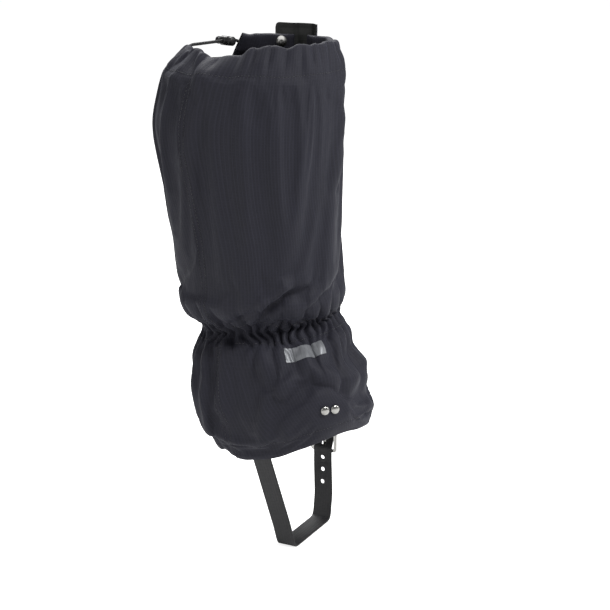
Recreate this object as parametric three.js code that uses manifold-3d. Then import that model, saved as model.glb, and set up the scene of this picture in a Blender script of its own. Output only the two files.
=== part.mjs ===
// A knee-length hiking gaiter for one leg: a fabric tube that is gathered at the rim by a drawcord
// and at the ankle by an elastic, flares over the boot, closes down its inner side with a zip under
// a storm flap, hooks to the laces in front and is held under the boot's arch by a buckled strap.
// Millimetres, +Z up, toes towards -Y, calf towards +Y, closure towards +X, plain outer side -X.
// The origin is on the leg's axis, level with the underside of the strap.
import * as THREE from "three";
import { mergeVertices } from "three/addons/utils/BufferGeometryUtils.js";
import Module from "manifold-3d";

const wasm = await Module();
wasm.setup();
const { Vector2, Vector3, Matrix4, Shape, Path } = THREE;

// ---- driving dimensions -------------------------------------------------------------------------

// heights along the leg, on the closure side
const HEM_Z = 104;
const WAIST_Z = 214;
const RIM_Z = 481;

// the tube's cross-sections: height above or below a landmark, half width across the leg, half depth
// along the foot, how far the centre lies behind the leg's axis, how far the front is lifted
const SECTIONS = [
  { z: HEM_Z, across: 62, along: 74, back: -27, lift: 14 },
  { z: HEM_Z + 24, across: 68, along: 84, back: -24, lift: 13 },
  { z: HEM_Z + 51, across: 70, along: 86, back: -16, lift: 11 },
  { z: WAIST_Z - 29, across: 64, along: 77, back: -8, lift: 9 },
  { z: WAIST_Z - 14, across: 57, along: 67, back: -3, lift: 8 },
  { z: WAIST_Z, across: 53, along: 61, back: 1, lift: 8 },
  { z: WAIST_Z + 15, across: 58, along: 67, back: 3, lift: 7 },
  { z: WAIST_Z + 36, across: 64, along: 78, back: 5, lift: 5 },
  { z: WAIST_Z + 86, across: 67, along: 80, back: 6, lift: 2 },
  { z: RIM_Z - 129, across: 71, along: 85, back: 10, lift: 0 },
  { z: RIM_Z - 71, across: 73, along: 92, back: 13, lift: 0 },
  { z: RIM_Z - 31, across: 67, along: 83, back: 9, lift: 0 },
  { z: RIM_Z, across: 56, along: 68, back: 5, lift: 0 },
];
const SQUARENESS = 2.3; // 2 is an ellipse, more fills its corners
const HEM_DIP = 9; // how far the hem hangs lower over the strap
const HEM_DIP_AT = 172; // degrees round from the closure, by the calf
const HEM_RISE = 6; // how far it is pushed up beside the instep
const HEM_RISE_AT = 242;
const HEM_WAVE_WIDTH = 28;
const HEM_WAVE_FADES = 90; // height above the hem where the wave is gone

// fabric and sewing
const SHELL = 1.2; // face fabric with its seam allowance
const BAND = 1.0; // hem band and patches
const SEWN = 0.5; // between layers that are stitched together
const GAP = 0.3; // between pieces that meet edge to edge
const SIDE_SEAM = 167; // degrees round from the closure

// top hem and drawcord
const CORD_D = 3;
const CORD_ROOM = 4; // the hem's depth beyond the cord's own
const TUNNEL_H = 26;
const TUNNEL_T = CORD_D + CORD_ROOM;
const TUNNEL_WALL = 0.8;
const CHANNEL_H = 11;
const CORD_BELOW_RIM = 8;
const SHORT_TUNNEL_END = 40; // degrees: where the cord comes out beside the closure
const LONG_TUNNEL_END = 112; // degrees: where it comes out over the calf
const NOTCH_BINDING_H = 5;

// cord lock
const LOCK_R = 4.5;
const LOCK_WALL = 1.2;
const LOCK_BODY_L = 15.5;
const LOCK_BODY_ABOVE_CORD = 4; // from the cord to the barrel's mouth
const LOCK_HOLE_R = 2.1;
const LOCK_TRAVEL = 3;
const BUTTON_T = 2.2;
const RUN = 0.3; // clearance of pieces that slide in one another

// closure, in the flat plane x = FACE_X
const FACE_X = 60;
const ZIP_Y = -6;
const WINDOW = 14; // between the panels' edges
const FLAT_HALF = 28; // half width of the flat part of the section
const FLAT_FADE = 17;
const TAPE_T = 0.8;
const TAPE_W = 9;
const ZIP_BOTTOM = HEM_Z + 2;
const ZIP_TOP = RIM_Z - 28;
const TOOTH_PITCH = 8;
const TOOTH_H = 3.2;
const TOOTH_REACH = 1.3;
const SPINE_W = 1.5;
const CHAIN_T = 2.6;
const WEDGE_W = 0.8; // the slider's blade between the two rows
const SLIDER_L = 14;
const SLIDER_PLATE = 1.1;
const FLANGE_W = 1.3;
const PULLER_L = 24;
const PULLER_W = 6;
const PULLER_T = 1;
const BOX_H = 9;
const PIN_L = 10;
const STOP_H = 2.5;

// storm flap and its fastenings
const FLAP_T = 1.4;
const FLAP_HINGE_Y = -22;
const FLAP_FREE_Y = 24;
const FLAP_BOTTOM = HEM_Z + 4;
const FLAP_TOP = RIM_Z + 10;
const FLAP_OVER_ZIP = 7; // mid-plane above the panels
const LOOP_T = 1.2;
const HOOK_T = 1.4;
const LOOP_W = 17;
const LOOP_START_Y = 4;
const SEAM_STRIP_W = 10;
const STUD_Y = 11;
const TOP_STUD_Z = RIM_Z - 6.5;
const BOTTOM_STUD_Z = HEM_Z + 13;
const STUD_R = 5;
const STUD_KNOB_R = 2;
const STUD_SHANK_R = 1.6;
const CAP_R = 6.2;
const CAP_H = 2;

// ankle
const ELASTIC_H = 25;
const ELASTIC_T = 1.6;
const ELASTIC_EASE = 0.8; // slack of the gathered cloth over the elastic
const CASING_H = 36;
const CASING_T = 0.8;

// hem
const HEM_BAND_H = 18;
const BAND_EASE = 0.6; // slack of the skirt over its hem band

// lace hook
const HOOK_DEG = 234.5;
const HOOK_ABOVE_HEM = 36;
const RIVET_SPACING = 10;
const RIVET_R = 4.25;
const RIVET_DOME = 2.2;
const RIVET_SHANK_R = 1.5;
const HOOK_PLATE_W = 17;
const HOOK_PLATE_H = 11;
const HOOK_PLATE_T = 1.2;
const HOOK_TONGUE_W = 8;
const HOOK_TONGUE_L = 16;
const HOOK_TONGUE_LEAN = 7; // towards the boot
const HOOK_CURL_R = 3.5;
const HOOK_EASE = 0.9; // between flat metal and curved cloth

// underfoot strap and buckle
const STRAP_W = 20;
const STRAP_T = 2;
const STRAP_OUTER_Y = -22;
const STRAP_SOLE_Y = -40;
const STRAP_INNER_Y = -34;
const SOLE_HALF = 38;
const STRAP_EASE = 1.4; // between the flat strap and the curved skirt
const STRAP_TUCK = 24; // length sewn inside the hem
const STRAP_HOLE_R = 2.2;
const STRAP_HOLE_PITCH = 12;
const STRAP_HOLES = 3;
const BUCKLE_Z = 86; // height of the heel bar
const BUCKLE_BAR = 2.4;
const BUCKLE_H = 21.2;
const TAB_T = 2.6;
const TAB_UP = 38;
const PRONG_W = 3.2;

// reflective strip on the skirt
const STRIP_FROM = 212;
const STRIP_TO = 246;
const STRIP_Z = WAIST_Z - 22;
const STRIP_H = 9;

// ---- solids -------------------------------------------------------------------------------------

function welded(geometry) {
  const bare = geometry.clone();
  bare.deleteAttribute("normal");
  bare.deleteAttribute("uv");
  const merged = mergeVertices(bare, 1e-4);
  const kept = [];
  const index = merged.index.array;
  for (let i = 0; i < index.length; i += 3) {
    const [a, b, c] = [index[i], index[i + 1], index[i + 2]];
    if (a !== b && b !== c && c !== a) kept.push(a, b, c);
  }
  merged.setIndex(kept);
  return merged;
}

function signedVolume(geometry) {
  const p = geometry.attributes.position;
  const index = geometry.index.array;
  const [a, b, c] = [new Vector3(), new Vector3(), new Vector3()];
  let sum = 0;
  for (let i = 0; i < index.length; i += 3) {
    a.fromBufferAttribute(p, index[i]);
    b.fromBufferAttribute(p, index[i + 1]);
    c.fromBufferAttribute(p, index[i + 2]);
    sum += a.dot(b.cross(c));
  }
  return sum / 6;
}

// the geometry with shared vertices, and with its faces turned outwards
function solid(geometry) {
  const merged = welded(geometry);
  if (signedVolume(merged) < 0) {
    const turned = Array.from(merged.index.array);
    for (let i = 0; i < turned.length; i += 3) {
      [turned[i], turned[i + 1]] = [turned[i + 1], turned[i]];
    }
    merged.setIndex(turned);
  }
  return merged;
}

function manifoldOf(geometry) {
  const g = solid(geometry);
  const vertProperties = new Float32Array(g.attributes.position.array);
  const triVerts = new Uint32Array(g.index.array);
  return new wasm.Manifold(new wasm.Mesh({ numProp: 3, vertProperties, triVerts }));
}

function geometryOf(manifold) {
  const mesh = manifold.getMesh();
  const geometry = new THREE.BufferGeometry();
  geometry.setAttribute("position", new THREE.BufferAttribute(mesh.vertProperties, 3));
  geometry.setIndex(new THREE.BufferAttribute(mesh.triVerts, 1));
  return geometry;
}

function cut(geometry, ...tools) {
  const left = tools.reduce((rest, tool) => rest.subtract(manifoldOf(tool)), manifoldOf(geometry));
  return geometryOf(left);
}

function join(first, ...others) {
  return geometryOf(others.reduce((sum, other) => sum.add(manifoldOf(other)), manifoldOf(first)));
}

function box(x0, x1, y0, y1, z0, z1) {
  const geometry = new THREE.BoxGeometry(x1 - x0, y1 - y0, z1 - z0);
  return geometry.translate((x0 + x1) / 2, (y0 + y1) / 2, (z0 + z1) / 2);
}

// a closed body between two grids of points; u closes on itself when wrapped
function shell(outer, inner, nu, nv, wrapped) {
  const columns = wrapped ? nu : nu + 1;
  const positions = [];
  const index = [];
  for (const side of [outer, inner]) {
    for (let j = 0; j <= nv; j++) {
      for (let i = 0; i < columns; i++) positions.push(...side(i / nu, j / nv).toArray());
    }
  }
  const at = (side, i, j) => (side * (nv + 1) + j) * columns + (i % columns);
  const quad = (a, b, c, d) => index.push(a, b, c, a, c, d);
  for (let j = 0; j < nv; j++) {
    for (let i = 0; i < nu; i++) {
      quad(at(0, i, j), at(0, i + 1, j), at(0, i + 1, j + 1), at(0, i, j + 1));
      quad(at(1, i, j), at(1, i, j + 1), at(1, i + 1, j + 1), at(1, i + 1, j));
    }
  }
  for (let i = 0; i < nu; i++) {
    quad(at(0, i, 0), at(1, i, 0), at(1, i + 1, 0), at(0, i + 1, 0));
    quad(at(0, i, nv), at(0, i + 1, nv), at(1, i + 1, nv), at(1, i, nv));
  }
  for (let j = 0; j < nv && !wrapped; j++) {
    quad(at(0, 0, j), at(0, 0, j + 1), at(1, 0, j + 1), at(1, 0, j));
    quad(at(0, nu, j), at(1, nu, j), at(1, nu, j + 1), at(0, nu, j + 1));
  }
  const geometry = new THREE.BufferGeometry();
  geometry.setAttribute("position", new THREE.Float32BufferAttribute(positions, 3));
  geometry.setIndex(index);
  return geometry;
}

// a solid of revolution about the line through origin along axis; profile is [radius, height] pairs
function turned(profile, segments, origin, axis) {
  const points = profile.map(([r, h]) => new Vector2(r, h));
  const geometry = new THREE.LatheGeometry(points, segments);
  const turn = new THREE.Quaternion().setFromUnitVectors(new Vector3(0, 1, 0), axis.clone().normalize());
  geometry.applyMatrix4(new Matrix4().makeRotationFromQuaternion(turn));
  return geometry.translate(...origin.toArray());
}

function rod(radius, from, to, segments = 16) {
  const axis = to.clone().sub(from);
  const length = axis.length();
  return turned([[0, 0], [radius, 0], [radius, length], [0, length]], segments, from, axis);
}

function outline(points) {
  return new Shape(points.map(([x, y]) => new Vector2(x, y)));
}

// an outline in the XY plane, raised from z0 to z1
function prism(shape, z0, z1) {
  const geometry = new THREE.ExtrudeGeometry(shape, { depth: z1 - z0, bevelEnabled: false, curveSegments: 8 });
  return geometry.translate(0, 0, z0);
}

// an outline drawn in (x, z), carried along Y from y0 to y1
function slab(shape, y0, y1) {
  return prism(shape, -y1, -y0).rotateX(Math.PI / 2);
}

// ---- the tube's surface -------------------------------------------------------------------------

const radians = THREE.MathUtils.degToRad;
const power = (value, exponent) => Math.sign(value) * Math.abs(value) ** exponent;

function slope(key, i) {
  const before = SECTIONS[Math.max(i - 1, 0)];
  const after = SECTIONS[Math.min(i + 1, SECTIONS.length - 1)];
  return (after[key] - before[key]) / (after.z - before.z);
}

// one of a section's measures at any height, on a smooth curve through the listed ones
function measure(key, z) {
  let i = 0;
  while (i < SECTIONS.length - 2 && SECTIONS[i + 1].z < z) i++;
  const [low, high] = [SECTIONS[i], SECTIONS[i + 1]];
  const step = high.z - low.z;
  const t = THREE.MathUtils.clamp((z - low.z) / step, 0, 1);
  const rise = (t ** 3 - 2 * t ** 2 + t) * step * slope(key, i);
  const fall = (t ** 3 - t ** 2) * step * slope(key, i + 1);
  return (2 * t ** 3 - 3 * t ** 2 + 1) * low[key] + rise + (3 * t ** 2 - 2 * t ** 3) * high[key] + fall;
}

function centreX(z) {
  const along = measure("along", z);
  const reach = (1 - Math.abs(measure("back", z) / along) ** SQUARENESS) ** (1 / SQUARENESS);
  return FACE_X - measure("across", z) * reach;
}

function bump(theta, degrees) {
  const away = Math.atan2(Math.sin(theta - radians(degrees)), Math.cos(theta - radians(degrees)));
  return Math.exp(-((away / radians(HEM_WAVE_WIDTH)) ** 2));
}

function hemWave(theta, z) {
  const fade = THREE.MathUtils.clamp(1 - (z - HEM_Z) / HEM_WAVE_FADES, 0, 1);
  return fade * (HEM_RISE * bump(theta, HEM_RISE_AT) - HEM_DIP * bump(theta, HEM_DIP_AT));
}

// the point at a nominal height and an angle round from the closure, inset from the outer face
function onBody(z, theta, inset = 0) {
  const [c, s] = [Math.cos(theta), Math.sin(theta)];
  const x = centreX(z) + (measure("across", z) - inset) * power(c, 2 / SQUARENESS);
  const y = measure("back", z) + (measure("along", z) - inset) * power(s, 2 / SQUARENESS);
  const off = THREE.MathUtils.clamp((FLAT_HALF + FLAT_FADE - Math.abs(y - ZIP_Y)) / FLAT_FADE, 0, 1);
  const flat = c > 0 ? off * off * (3 - 2 * off) : 0;
  return new Vector3(
    x * (1 - flat) + (FACE_X - inset) * flat,
    y,
    z - measure("lift", z) * s + hemWave(theta, z),
  );
}

// the angle where the closure side of a section has this y
function angleAt(z, y) {
  const share = (y - measure("back", z)) / measure("along", z);
  return Math.asin(power(share, SQUARENESS / 2));
}

function normalAt(z, theta) {
  const d = 0.01;
  const round = onBody(z, theta + d).sub(onBody(z, theta - d));
  const up = onBody(z + 1, theta).sub(onBody(z - 1, theta));
  return round.cross(up).normalize();
}

// a layer of cloth from z0 to z1 between two edges, each an angle that may depend on the height;
// its rows lie closer together at z0 when crowd is over 1
function layer(z0, z1, from, to, inset, thickness, nu, nv, crowd = 1) {
  const side = (depth) => (u, v) => {
    const z = z0 + (z1 - z0) * v ** crowd;
    const start = from(z);
    return onBody(z, start + (to(z) - start) * u, depth);
  };
  return shell(side(inset), side(inset + thickness), nu, nv, false);
}

// how far the zip's rows, spines and tapes reach from its middle
const half = WEDGE_W / 2 + RUN;
const spineNear = half + TOOTH_REACH;
const spineFar = spineNear + SPINE_W;
const tapeNear = spineFar + GAP;
const tapeFar = tapeNear + TAPE_W;

const frontEdge = ZIP_Y - WINDOW / 2;
const rearEdge = ZIP_Y + WINDOW / 2;
const turn = 2 * Math.PI;
const toFrontEdge = (z) => turn + angleAt(z, frontEdge);
const fromRearEdge = (z) => angleAt(z, rearEdge);
const seamBefore = (z) => radians(SIDE_SEAM) - GAP / 2 / measure("across", z);
const seamAfter = (z) => radians(SIDE_SEAM) + GAP / 2 / measure("across", z);

// ---- assembly -----------------------------------------------------------------------------------

const COLOURS = {
  shell: [0x2f3037, 0.8, 0],
  lining: [0x1b1c1c, 0.85, 0],
  cord: [0x151515, 0.7, 0],
  plastic: [0x1c1c1e, 0.45, 0],
  strap: [0x2b2b2e, 0.5, 0],
  nickel: [0xb9babd, 0.25, 1],
  print: [0x8d8f92, 0.4, 0.2],
};

const group = new THREE.Group();

function add(name, colour, geometry) {
  const [color, roughness, metalness] = COLOURS[colour];
  const mesh = new THREE.Mesh(solid(geometry), new THREE.MeshStandardMaterial({ color, roughness, metalness }));
  mesh.name = name;
  group.add(mesh);
}

// ---- press studs: places first, because cloth and flap are pierced for them ----------------------

const studs = [
  { name: "top", z: TOP_STUD_Z, through: TUNNEL_T },
  { name: "bottom", z: BOTTOM_STUD_Z, through: SHELL + SEWN + BAND_EASE + BAND },
];
const outward = new Vector3(1, 0, 0);
const atStud = (stud, x) => new Vector3(FACE_X + x, STUD_Y, stud.z);
const studHole = (stud) => rod(STUD_SHANK_R + RUN, atStud(stud, -12), atStud(stud, 12));

// ---- lace hook: its rivets stand square to the skirt -------------------------------------------

const hookZ = HEM_Z + HOOK_ABOVE_HEM;
const hookAngle = radians(HOOK_DEG);
const hookOut = normalAt(hookZ, hookAngle);
const hookUp = new Vector3(0, 0, 1).sub(hookOut.clone().multiplyScalar(hookOut.z)).normalize();
const hookSide = new Vector3().crossVectors(hookUp, hookOut);
const hookFrame = new Matrix4().makeBasis(hookSide, hookUp, hookOut).setPosition(onBody(hookZ, hookAngle));
const hookPlateInset = SHELL + SEWN + HOOK_EASE + BAND + SEWN + HOOK_EASE;

function atRivet(i, height) {
  return new Vector3((i - 0.5) * RIVET_SPACING, 0, height).applyMatrix4(hookFrame);
}

const rivetHoles = [0, 1].map((i) => rod(RIVET_SHANK_R + RUN, atRivet(i, -12), atRivet(i, 6)));

// ---- panels -------------------------------------------------------------------------------------

const panelTop = RIM_Z - TUNNEL_H - GAP;
const lowerTop = WAIST_Z - GAP / 2;
const upperBottom = WAIST_Z + GAP / 2;

add("upper_front_panel", "shell", layer(upperBottom, panelTop, seamAfter, toFrontEdge, 0, SHELL, 22, 11, 1.8));
add("upper_rear_panel", "shell", layer(upperBottom, panelTop, fromRearEdge, seamBefore, 0, SHELL, 19, 11, 1.8));
const lowerFront = layer(lowerTop, HEM_Z, seamAfter, toFrontEdge, 0, SHELL, 22, 9, 1.2);
add("lower_front_panel", "shell", cut(lowerFront, ...rivetHoles));
const lowerRear = layer(lowerTop, HEM_Z, fromRearEdge, seamBefore, 0, SHELL, 19, 9, 1.2);
add("lower_rear_panel", "shell", cut(lowerRear, studHole(studs[1])));

// ---- top hem: a tunnel in two lengths, and a bound edge between them ---------------------------

// a closed loop of [inset, height below the rim], swept round the rim
function tunnel(from, to, steps) {
  const outerLoop = [[0, TUNNEL_H], [0, 2.5], [1, 0.6], [TUNNEL_T / 2, 0], [TUNNEL_T - 1, 0.6],
    [TUNNEL_T, 2.5], [TUNNEL_T, CHANNEL_H + 4], [SHELL + 1, TUNNEL_H]];
  const deep = CHANNEL_H + 2;
  const [near, far] = [TUNNEL_WALL, TUNNEL_T - TUNNEL_WALL];
  const mid = TUNNEL_T / 2;
  const innerLoop = [[near, deep], [near, 3.4], [near + 0.5, 2.3], [mid, 1.8], [far - 0.5, 2.3],
    [far, 3.4], [far, deep - 1], [mid, deep]];
  const loop = (points) => (u, v) => {
    const [inset, below] = points[Math.round(u * points.length) % points.length];
    const z = RIM_Z - below;
    const start = from(RIM_Z);
    return onBody(z, start + (to(RIM_Z) - start) * v, inset);
  };
  return shell(loop(outerLoop), loop(innerLoop), outerLoop.length, steps, true);
}

const shortEnd = () => radians(SHORT_TUNNEL_END);
const longEnd = () => radians(LONG_TUNNEL_END);
add("top_hem_long", "shell", tunnel(longEnd, toFrontEdge, 42));
add("top_hem_short", "shell", cut(tunnel(fromRearEdge, shortEnd, 6), studHole(studs[0])));
const edgeGap = GAP / measure("across", RIM_Z);
const bindingFrom = () => shortEnd() + edgeGap;
const bindingTo = () => longEnd() - edgeGap;
const bindingZ = RIM_Z - TUNNEL_H;
add("notch_binding", "lining",
  layer(bindingZ, bindingZ + NOTCH_BINDING_H, bindingFrom, bindingTo, 0, SHELL + BAND, 12, 1));

// ---- drawcord: sewn in beside the closure, out over the calf through the lock, and on round ----

const cordZ = RIM_Z - CORD_BELOW_RIM;
const inTunnel = (theta) => onBody(cordZ, theta, TUNNEL_T / 2);
const strandZ = cordZ + 2;
// the cord in the open, from the short tunnel's mouth through the lock to the long tunnel's mouth
const LOCK_AT = new Vector3(29, 60, strandZ);
const STRAND = new Vector3(-0.973, 0.231, 0); // towards the long tunnel
const onStrand = (distance) => LOCK_AT.clone().addScaledVector(STRAND, distance);
const openCord = [
  new Vector3(43.7, 55.5, cordZ + 0.8),
  onStrand(-10),
  onStrand(-6),
  onStrand(0),
  onStrand(12),
  onStrand(24),
  onStrand(36),
  onStrand(44),
  new Vector3(-19.2, 71.1, cordZ + 0.8),
];

function cordRoute() {
  const points = [];
  const firstAngle = angleAt(RIM_Z, STUD_Y + 7);
  for (let i = 0; i <= 4; i++) points.push(inTunnel(firstAngle + (shortEnd() - firstAngle) * (i / 4)));
  points.push(...openCord);
  const lastAngle = toFrontEdge(RIM_Z) - radians(4);
  for (let i = 0; i <= 40; i++) points.push(inTunnel(longEnd() + (lastAngle - longEnd()) * (i / 40)));
  return new THREE.CatmullRomCurve3(points, false, "centripetal");
}

function circle(radius, sides) {
  const points = [];
  for (let i = 0; i < sides; i++) {
    points.push([radius * Math.cos((turn * i) / sides), radius * Math.sin((turn * i) / sides)]);
  }
  return outline(points);
}

function tube(path, radius, sides, steps) {
  return new THREE.ExtrudeGeometry(circle(radius, sides), { steps, extrudePath: path, bevelEnabled: false });
}

add("drawcord", "cord", tube(cordRoute(), CORD_D / 2, 8, 72));

// ---- cord lock: a barrel across the cord, with a sprung plunger --------------------------------

const lockAxis = new Vector3(-STRAND.y, STRAND.x, 0).negate(); // towards the button
const atLock = (along) => LOCK_AT.clone().addScaledVector(lockAxis, along);
const mouth = LOCK_BODY_ABOVE_CORD;
const barrelEnd = mouth - LOCK_BODY_L;
const bore = LOCK_R - LOCK_WALL;
const stemR = bore - RUN;
const stemEnd = -LOCK_HOLE_R - 1.6;

function lockBody() {
  const profile = [[0, 0], [LOCK_R - 1.2, 0], [LOCK_R, 1.2], [LOCK_R, LOCK_BODY_L - 0.6],
    [LOCK_R - 0.6, LOCK_BODY_L], [bore, LOCK_BODY_L], [bore, LOCK_WALL], [0, LOCK_WALL]];
  const barrel = turned(profile, 20, atLock(barrelEnd), lockAxis);
  return cut(barrel, rod(LOCK_HOLE_R, onStrand(-8), onStrand(8), 12));
}

function lockPlunger() {
  const under = mouth + LOCK_TRAVEL + RUN - stemEnd;
  const profile = [[0, 0], [stemR, 0], [stemR, under], [LOCK_R - 0.9, under],
    [LOCK_R - 0.9, under + BUTTON_T - 0.6], [LOCK_R - 1.6, under + BUTTON_T], [0, under + BUTTON_T]];
  const stem = turned(profile, 20, atLock(stemEnd), lockAxis);
  const slots = [0, LOCK_TRAVEL / 2, LOCK_TRAVEL].map((shift) => {
    const at = (d) => onStrand(d).addScaledVector(lockAxis, shift);
    return rod(LOCK_HOLE_R, at(-8), at(8), 12);
  });
  return cut(stem, ...slots);
}

class Helix extends THREE.Curve {
  constructor(origin, axis, radius, length, turns) {
    super();
    this.frame = new THREE.Quaternion().setFromUnitVectors(new Vector3(0, 1, 0), axis);
    Object.assign(this, { origin, radius, length, turns });
  }

  getPoint(t) {
    const angle = t * this.turns * turn;
    const flat = new Vector3(this.radius * Math.cos(angle), t * this.length, this.radius * Math.sin(angle));
    return flat.applyQuaternion(this.frame).add(this.origin);
  }
}

const springR = stemR - 0.6;
const springWire = 0.35;
const springFrom = barrelEnd + LOCK_WALL + RUN + springWire;
const springTo = stemEnd - RUN - springWire;
add("cord_lock_barrel", "plastic", lockBody());
add("cord_lock_plunger", "plastic", lockPlunger());
add("cord_lock_spring", "nickel",
  tube(new Helix(atLock(springFrom), lockAxis, springR, springTo - springFrom, 4), springWire, 5, 32));

// ---- ankle elastic and its casing ---------------------------------------------------------------

const bandFrom = (z) => angleAt(z, ZIP_Y + tapeFar + 4);
const bandTo = (z) => turn + angleAt(z, ZIP_Y - tapeFar - 4);
const bandAt = SHELL + SEWN;
const elasticAt = bandAt + ELASTIC_EASE;
add("ankle_elastic", "lining", layer(WAIST_Z - ELASTIC_H / 2, WAIST_Z + ELASTIC_H / 2,
  bandFrom, bandTo, elasticAt, ELASTIC_T, 34, 5));
add("ankle_casing", "lining", layer(WAIST_Z - CASING_H / 2, WAIST_Z + CASING_H / 2,
  bandFrom, bandTo, elasticAt + ELASTIC_T + SEWN + ELASTIC_EASE, CASING_T, 34, 4));

// ---- bottom hem ---------------------------------------------------------------------------------

const hemBand = layer(HEM_Z + 0.5, HEM_Z + HEM_BAND_H, (z) => angleAt(z, ZIP_Y + tapeFar + 2),
  (z) => turn + angleAt(z, ZIP_Y - tapeFar - 2), bandAt + BAND_EASE, BAND, 40, 3);
add("bottom_hem_band", "lining", cut(hemBand, studHole(studs[1]), ...rivetHoles));

// ---- zip ----------------------------------------------------------------------------------------

const chainX = FACE_X - SHELL - SEWN - TAPE_T / 2;
const teethTop = ZIP_TOP - STOP_H - GAP;
const boxTop = ZIP_BOTTOM + BOX_H;
const pinTop = ZIP_BOTTOM + 2 + PIN_L;

// side is -1 for the front half of the zip and +1 for the rear half
function acrossZip(side, near, far) {
  return [ZIP_Y + side * near, ZIP_Y + side * far].sort((a, b) => a - b);
}

function zipBlock(side, near, far, thickness, z0, z1) {
  const [y0, y1] = acrossZip(side, near, far);
  return box(chainX - thickness / 2, chainX + thickness / 2, y0, y1, z0, z1);
}

// a comb whose teeth point at the middle of the zip
function teeth(side, from) {
  const points = [[side * spineFar, from], [side * spineFar, teethTop], [side * spineNear, teethTop]];
  const shift = side > 0 ? TOOTH_PITCH / 2 : 0;
  const count = Math.floor((teethTop - from - TOOTH_PITCH - shift) / TOOTH_PITCH);
  for (let i = count; i >= 0; i--) {
    const z = from + 1 + shift + i * TOOTH_PITCH;
    points.push([side * spineNear, z + TOOTH_H], [side * half, z + TOOTH_H - 0.3]);
    points.push([side * half, z + 0.3], [side * spineNear, z]);
  }
  points.push([side * spineNear, from]);
  const flat = outline(side > 0 ? points : points.slice().reverse());
  const plate = prism(flat, -CHAIN_T / 2, CHAIN_T / 2);
  const stand = new Matrix4().makeBasis(new Vector3(0, 1, 0), new Vector3(0, 0, 1), new Vector3(1, 0, 0));
  return plate.applyMatrix4(stand.setPosition(chainX, ZIP_Y, 0));
}

const tapeZ = [HEM_Z + 1, ZIP_TOP + 0.5];
add("zip_tape_front", "lining", zipBlock(-1, tapeNear, tapeFar, TAPE_T, ...tapeZ));
add("zip_tape_rear", "lining", zipBlock(1, tapeNear, tapeFar, TAPE_T, ...tapeZ));
add("zip_teeth_front", "plastic", teeth(-1, boxTop + GAP));
add("zip_teeth_rear", "plastic", teeth(1, pinTop + GAP));
add("zip_stop_front", "plastic", zipBlock(-1, half + 0.5, spineFar, CHAIN_T, ZIP_TOP - STOP_H, ZIP_TOP));
add("zip_stop_rear", "plastic", zipBlock(1, half + 0.5, spineFar, CHAIN_T, ZIP_TOP - STOP_H, ZIP_TOP));

// the retainer box is sewn to the front tape, and the rear half's pin drops into it
const pinNear = half + 0.1;
const pinFar = spineNear + 0.8;
const pinT = CHAIN_T - 0.8;
const boxT = CHAIN_T + 1.4;
const retainer = box(chainX - boxT / 2, chainX + boxT / 2, ZIP_Y - spineFar, ZIP_Y + spineFar - 0.1,
  ZIP_BOTTOM, boxTop);
const [pinY0, pinY1] = acrossZip(1, pinNear - RUN, pinFar + RUN);
const pinSlot = box(chainX - pinT / 2 - RUN, chainX + pinT / 2 + RUN, pinY0, pinY1,
  ZIP_BOTTOM + 2 - RUN, boxTop + 1);
add("zip_box", "plastic", cut(retainer, pinSlot));
add("zip_pin", "plastic", zipBlock(1, pinNear, pinFar, pinT, ZIP_BOTTOM + 2, pinTop));

// ---- slider and puller --------------------------------------------------------------------------

const sliderTop = teethTop - 1;
const sliderHalfW = spineFar + RUN + 0.4 + FLANGE_W;
const plateIn = CHAIN_T / 2 + RUN;
const plateOut = plateIn + SLIDER_PLATE;
const pivotR = 0.9;
const bailX = chainX + plateOut;
const pullerX = bailX + pivotR + 0.15 + RUN;
const pivotZ = sliderTop - SLIDER_L / 2 - 1;

function sliderPlate(side) {
  const [near, far] = [chainX + side * plateIn, chainX + side * plateOut].sort((a, b) => a - b);
  const w = sliderHalfW;
  const flat = outline([[-w + 1.2, -SLIDER_L], [w - 1.2, -SLIDER_L], [w, -SLIDER_L + 3], [w, -2], [w - 1.5, 0],
    [-w + 1.5, 0], [-w, -2], [-w, -SLIDER_L + 3]]);
  const stand = new Matrix4().makeBasis(new Vector3(0, 1, 0), new Vector3(0, 0, 1), new Vector3(1, 0, 0));
  return prism(flat, near, far).applyMatrix4(stand.setPosition(0, ZIP_Y, sliderTop));
}

function sliderFlange(side, edge) {
  const tapeFace = TAPE_T / 2 + RUN;
  const [x0, x1] = [chainX + side * tapeFace, chainX + side * (plateIn + 0.2)].sort((a, b) => a - b);
  const [y0, y1] = acrossZip(edge, sliderHalfW - FLANGE_W, sliderHalfW);
  return box(x0, x1, y0, y1, sliderTop - SLIDER_L + 3, sliderTop - 3);
}

function slider() {
  const blade = box(chainX - plateIn - 0.2, chainX + plateIn + 0.2, ZIP_Y - WEDGE_W / 2, ZIP_Y + WEDGE_W / 2,
    sliderTop - 4, sliderTop - 1);
  const ears = [-1, 1].map((side) => {
    const [y0, y1] = acrossZip(side, PULLER_W / 2 - 1.4, PULLER_W / 2 - 0.4);
    return box(bailX - 0.2, pullerX + pivotR, y0, y1, pivotZ - 1.3, pivotZ + 1.3);
  });
  const axle = rod(pivotR - 0.35, new Vector3(pullerX, ZIP_Y - PULLER_W / 2 + 0.9, pivotZ),
    new Vector3(pullerX, ZIP_Y + PULLER_W / 2 - 0.9, pivotZ), 8);
  const flanges = [[1, 1], [1, -1], [-1, 1], [-1, -1]].map(([side, edge]) => sliderFlange(side, edge));
  return join(sliderPlate(1), sliderPlate(-1), blade, axle, ...ears, ...flanges);
}

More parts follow.
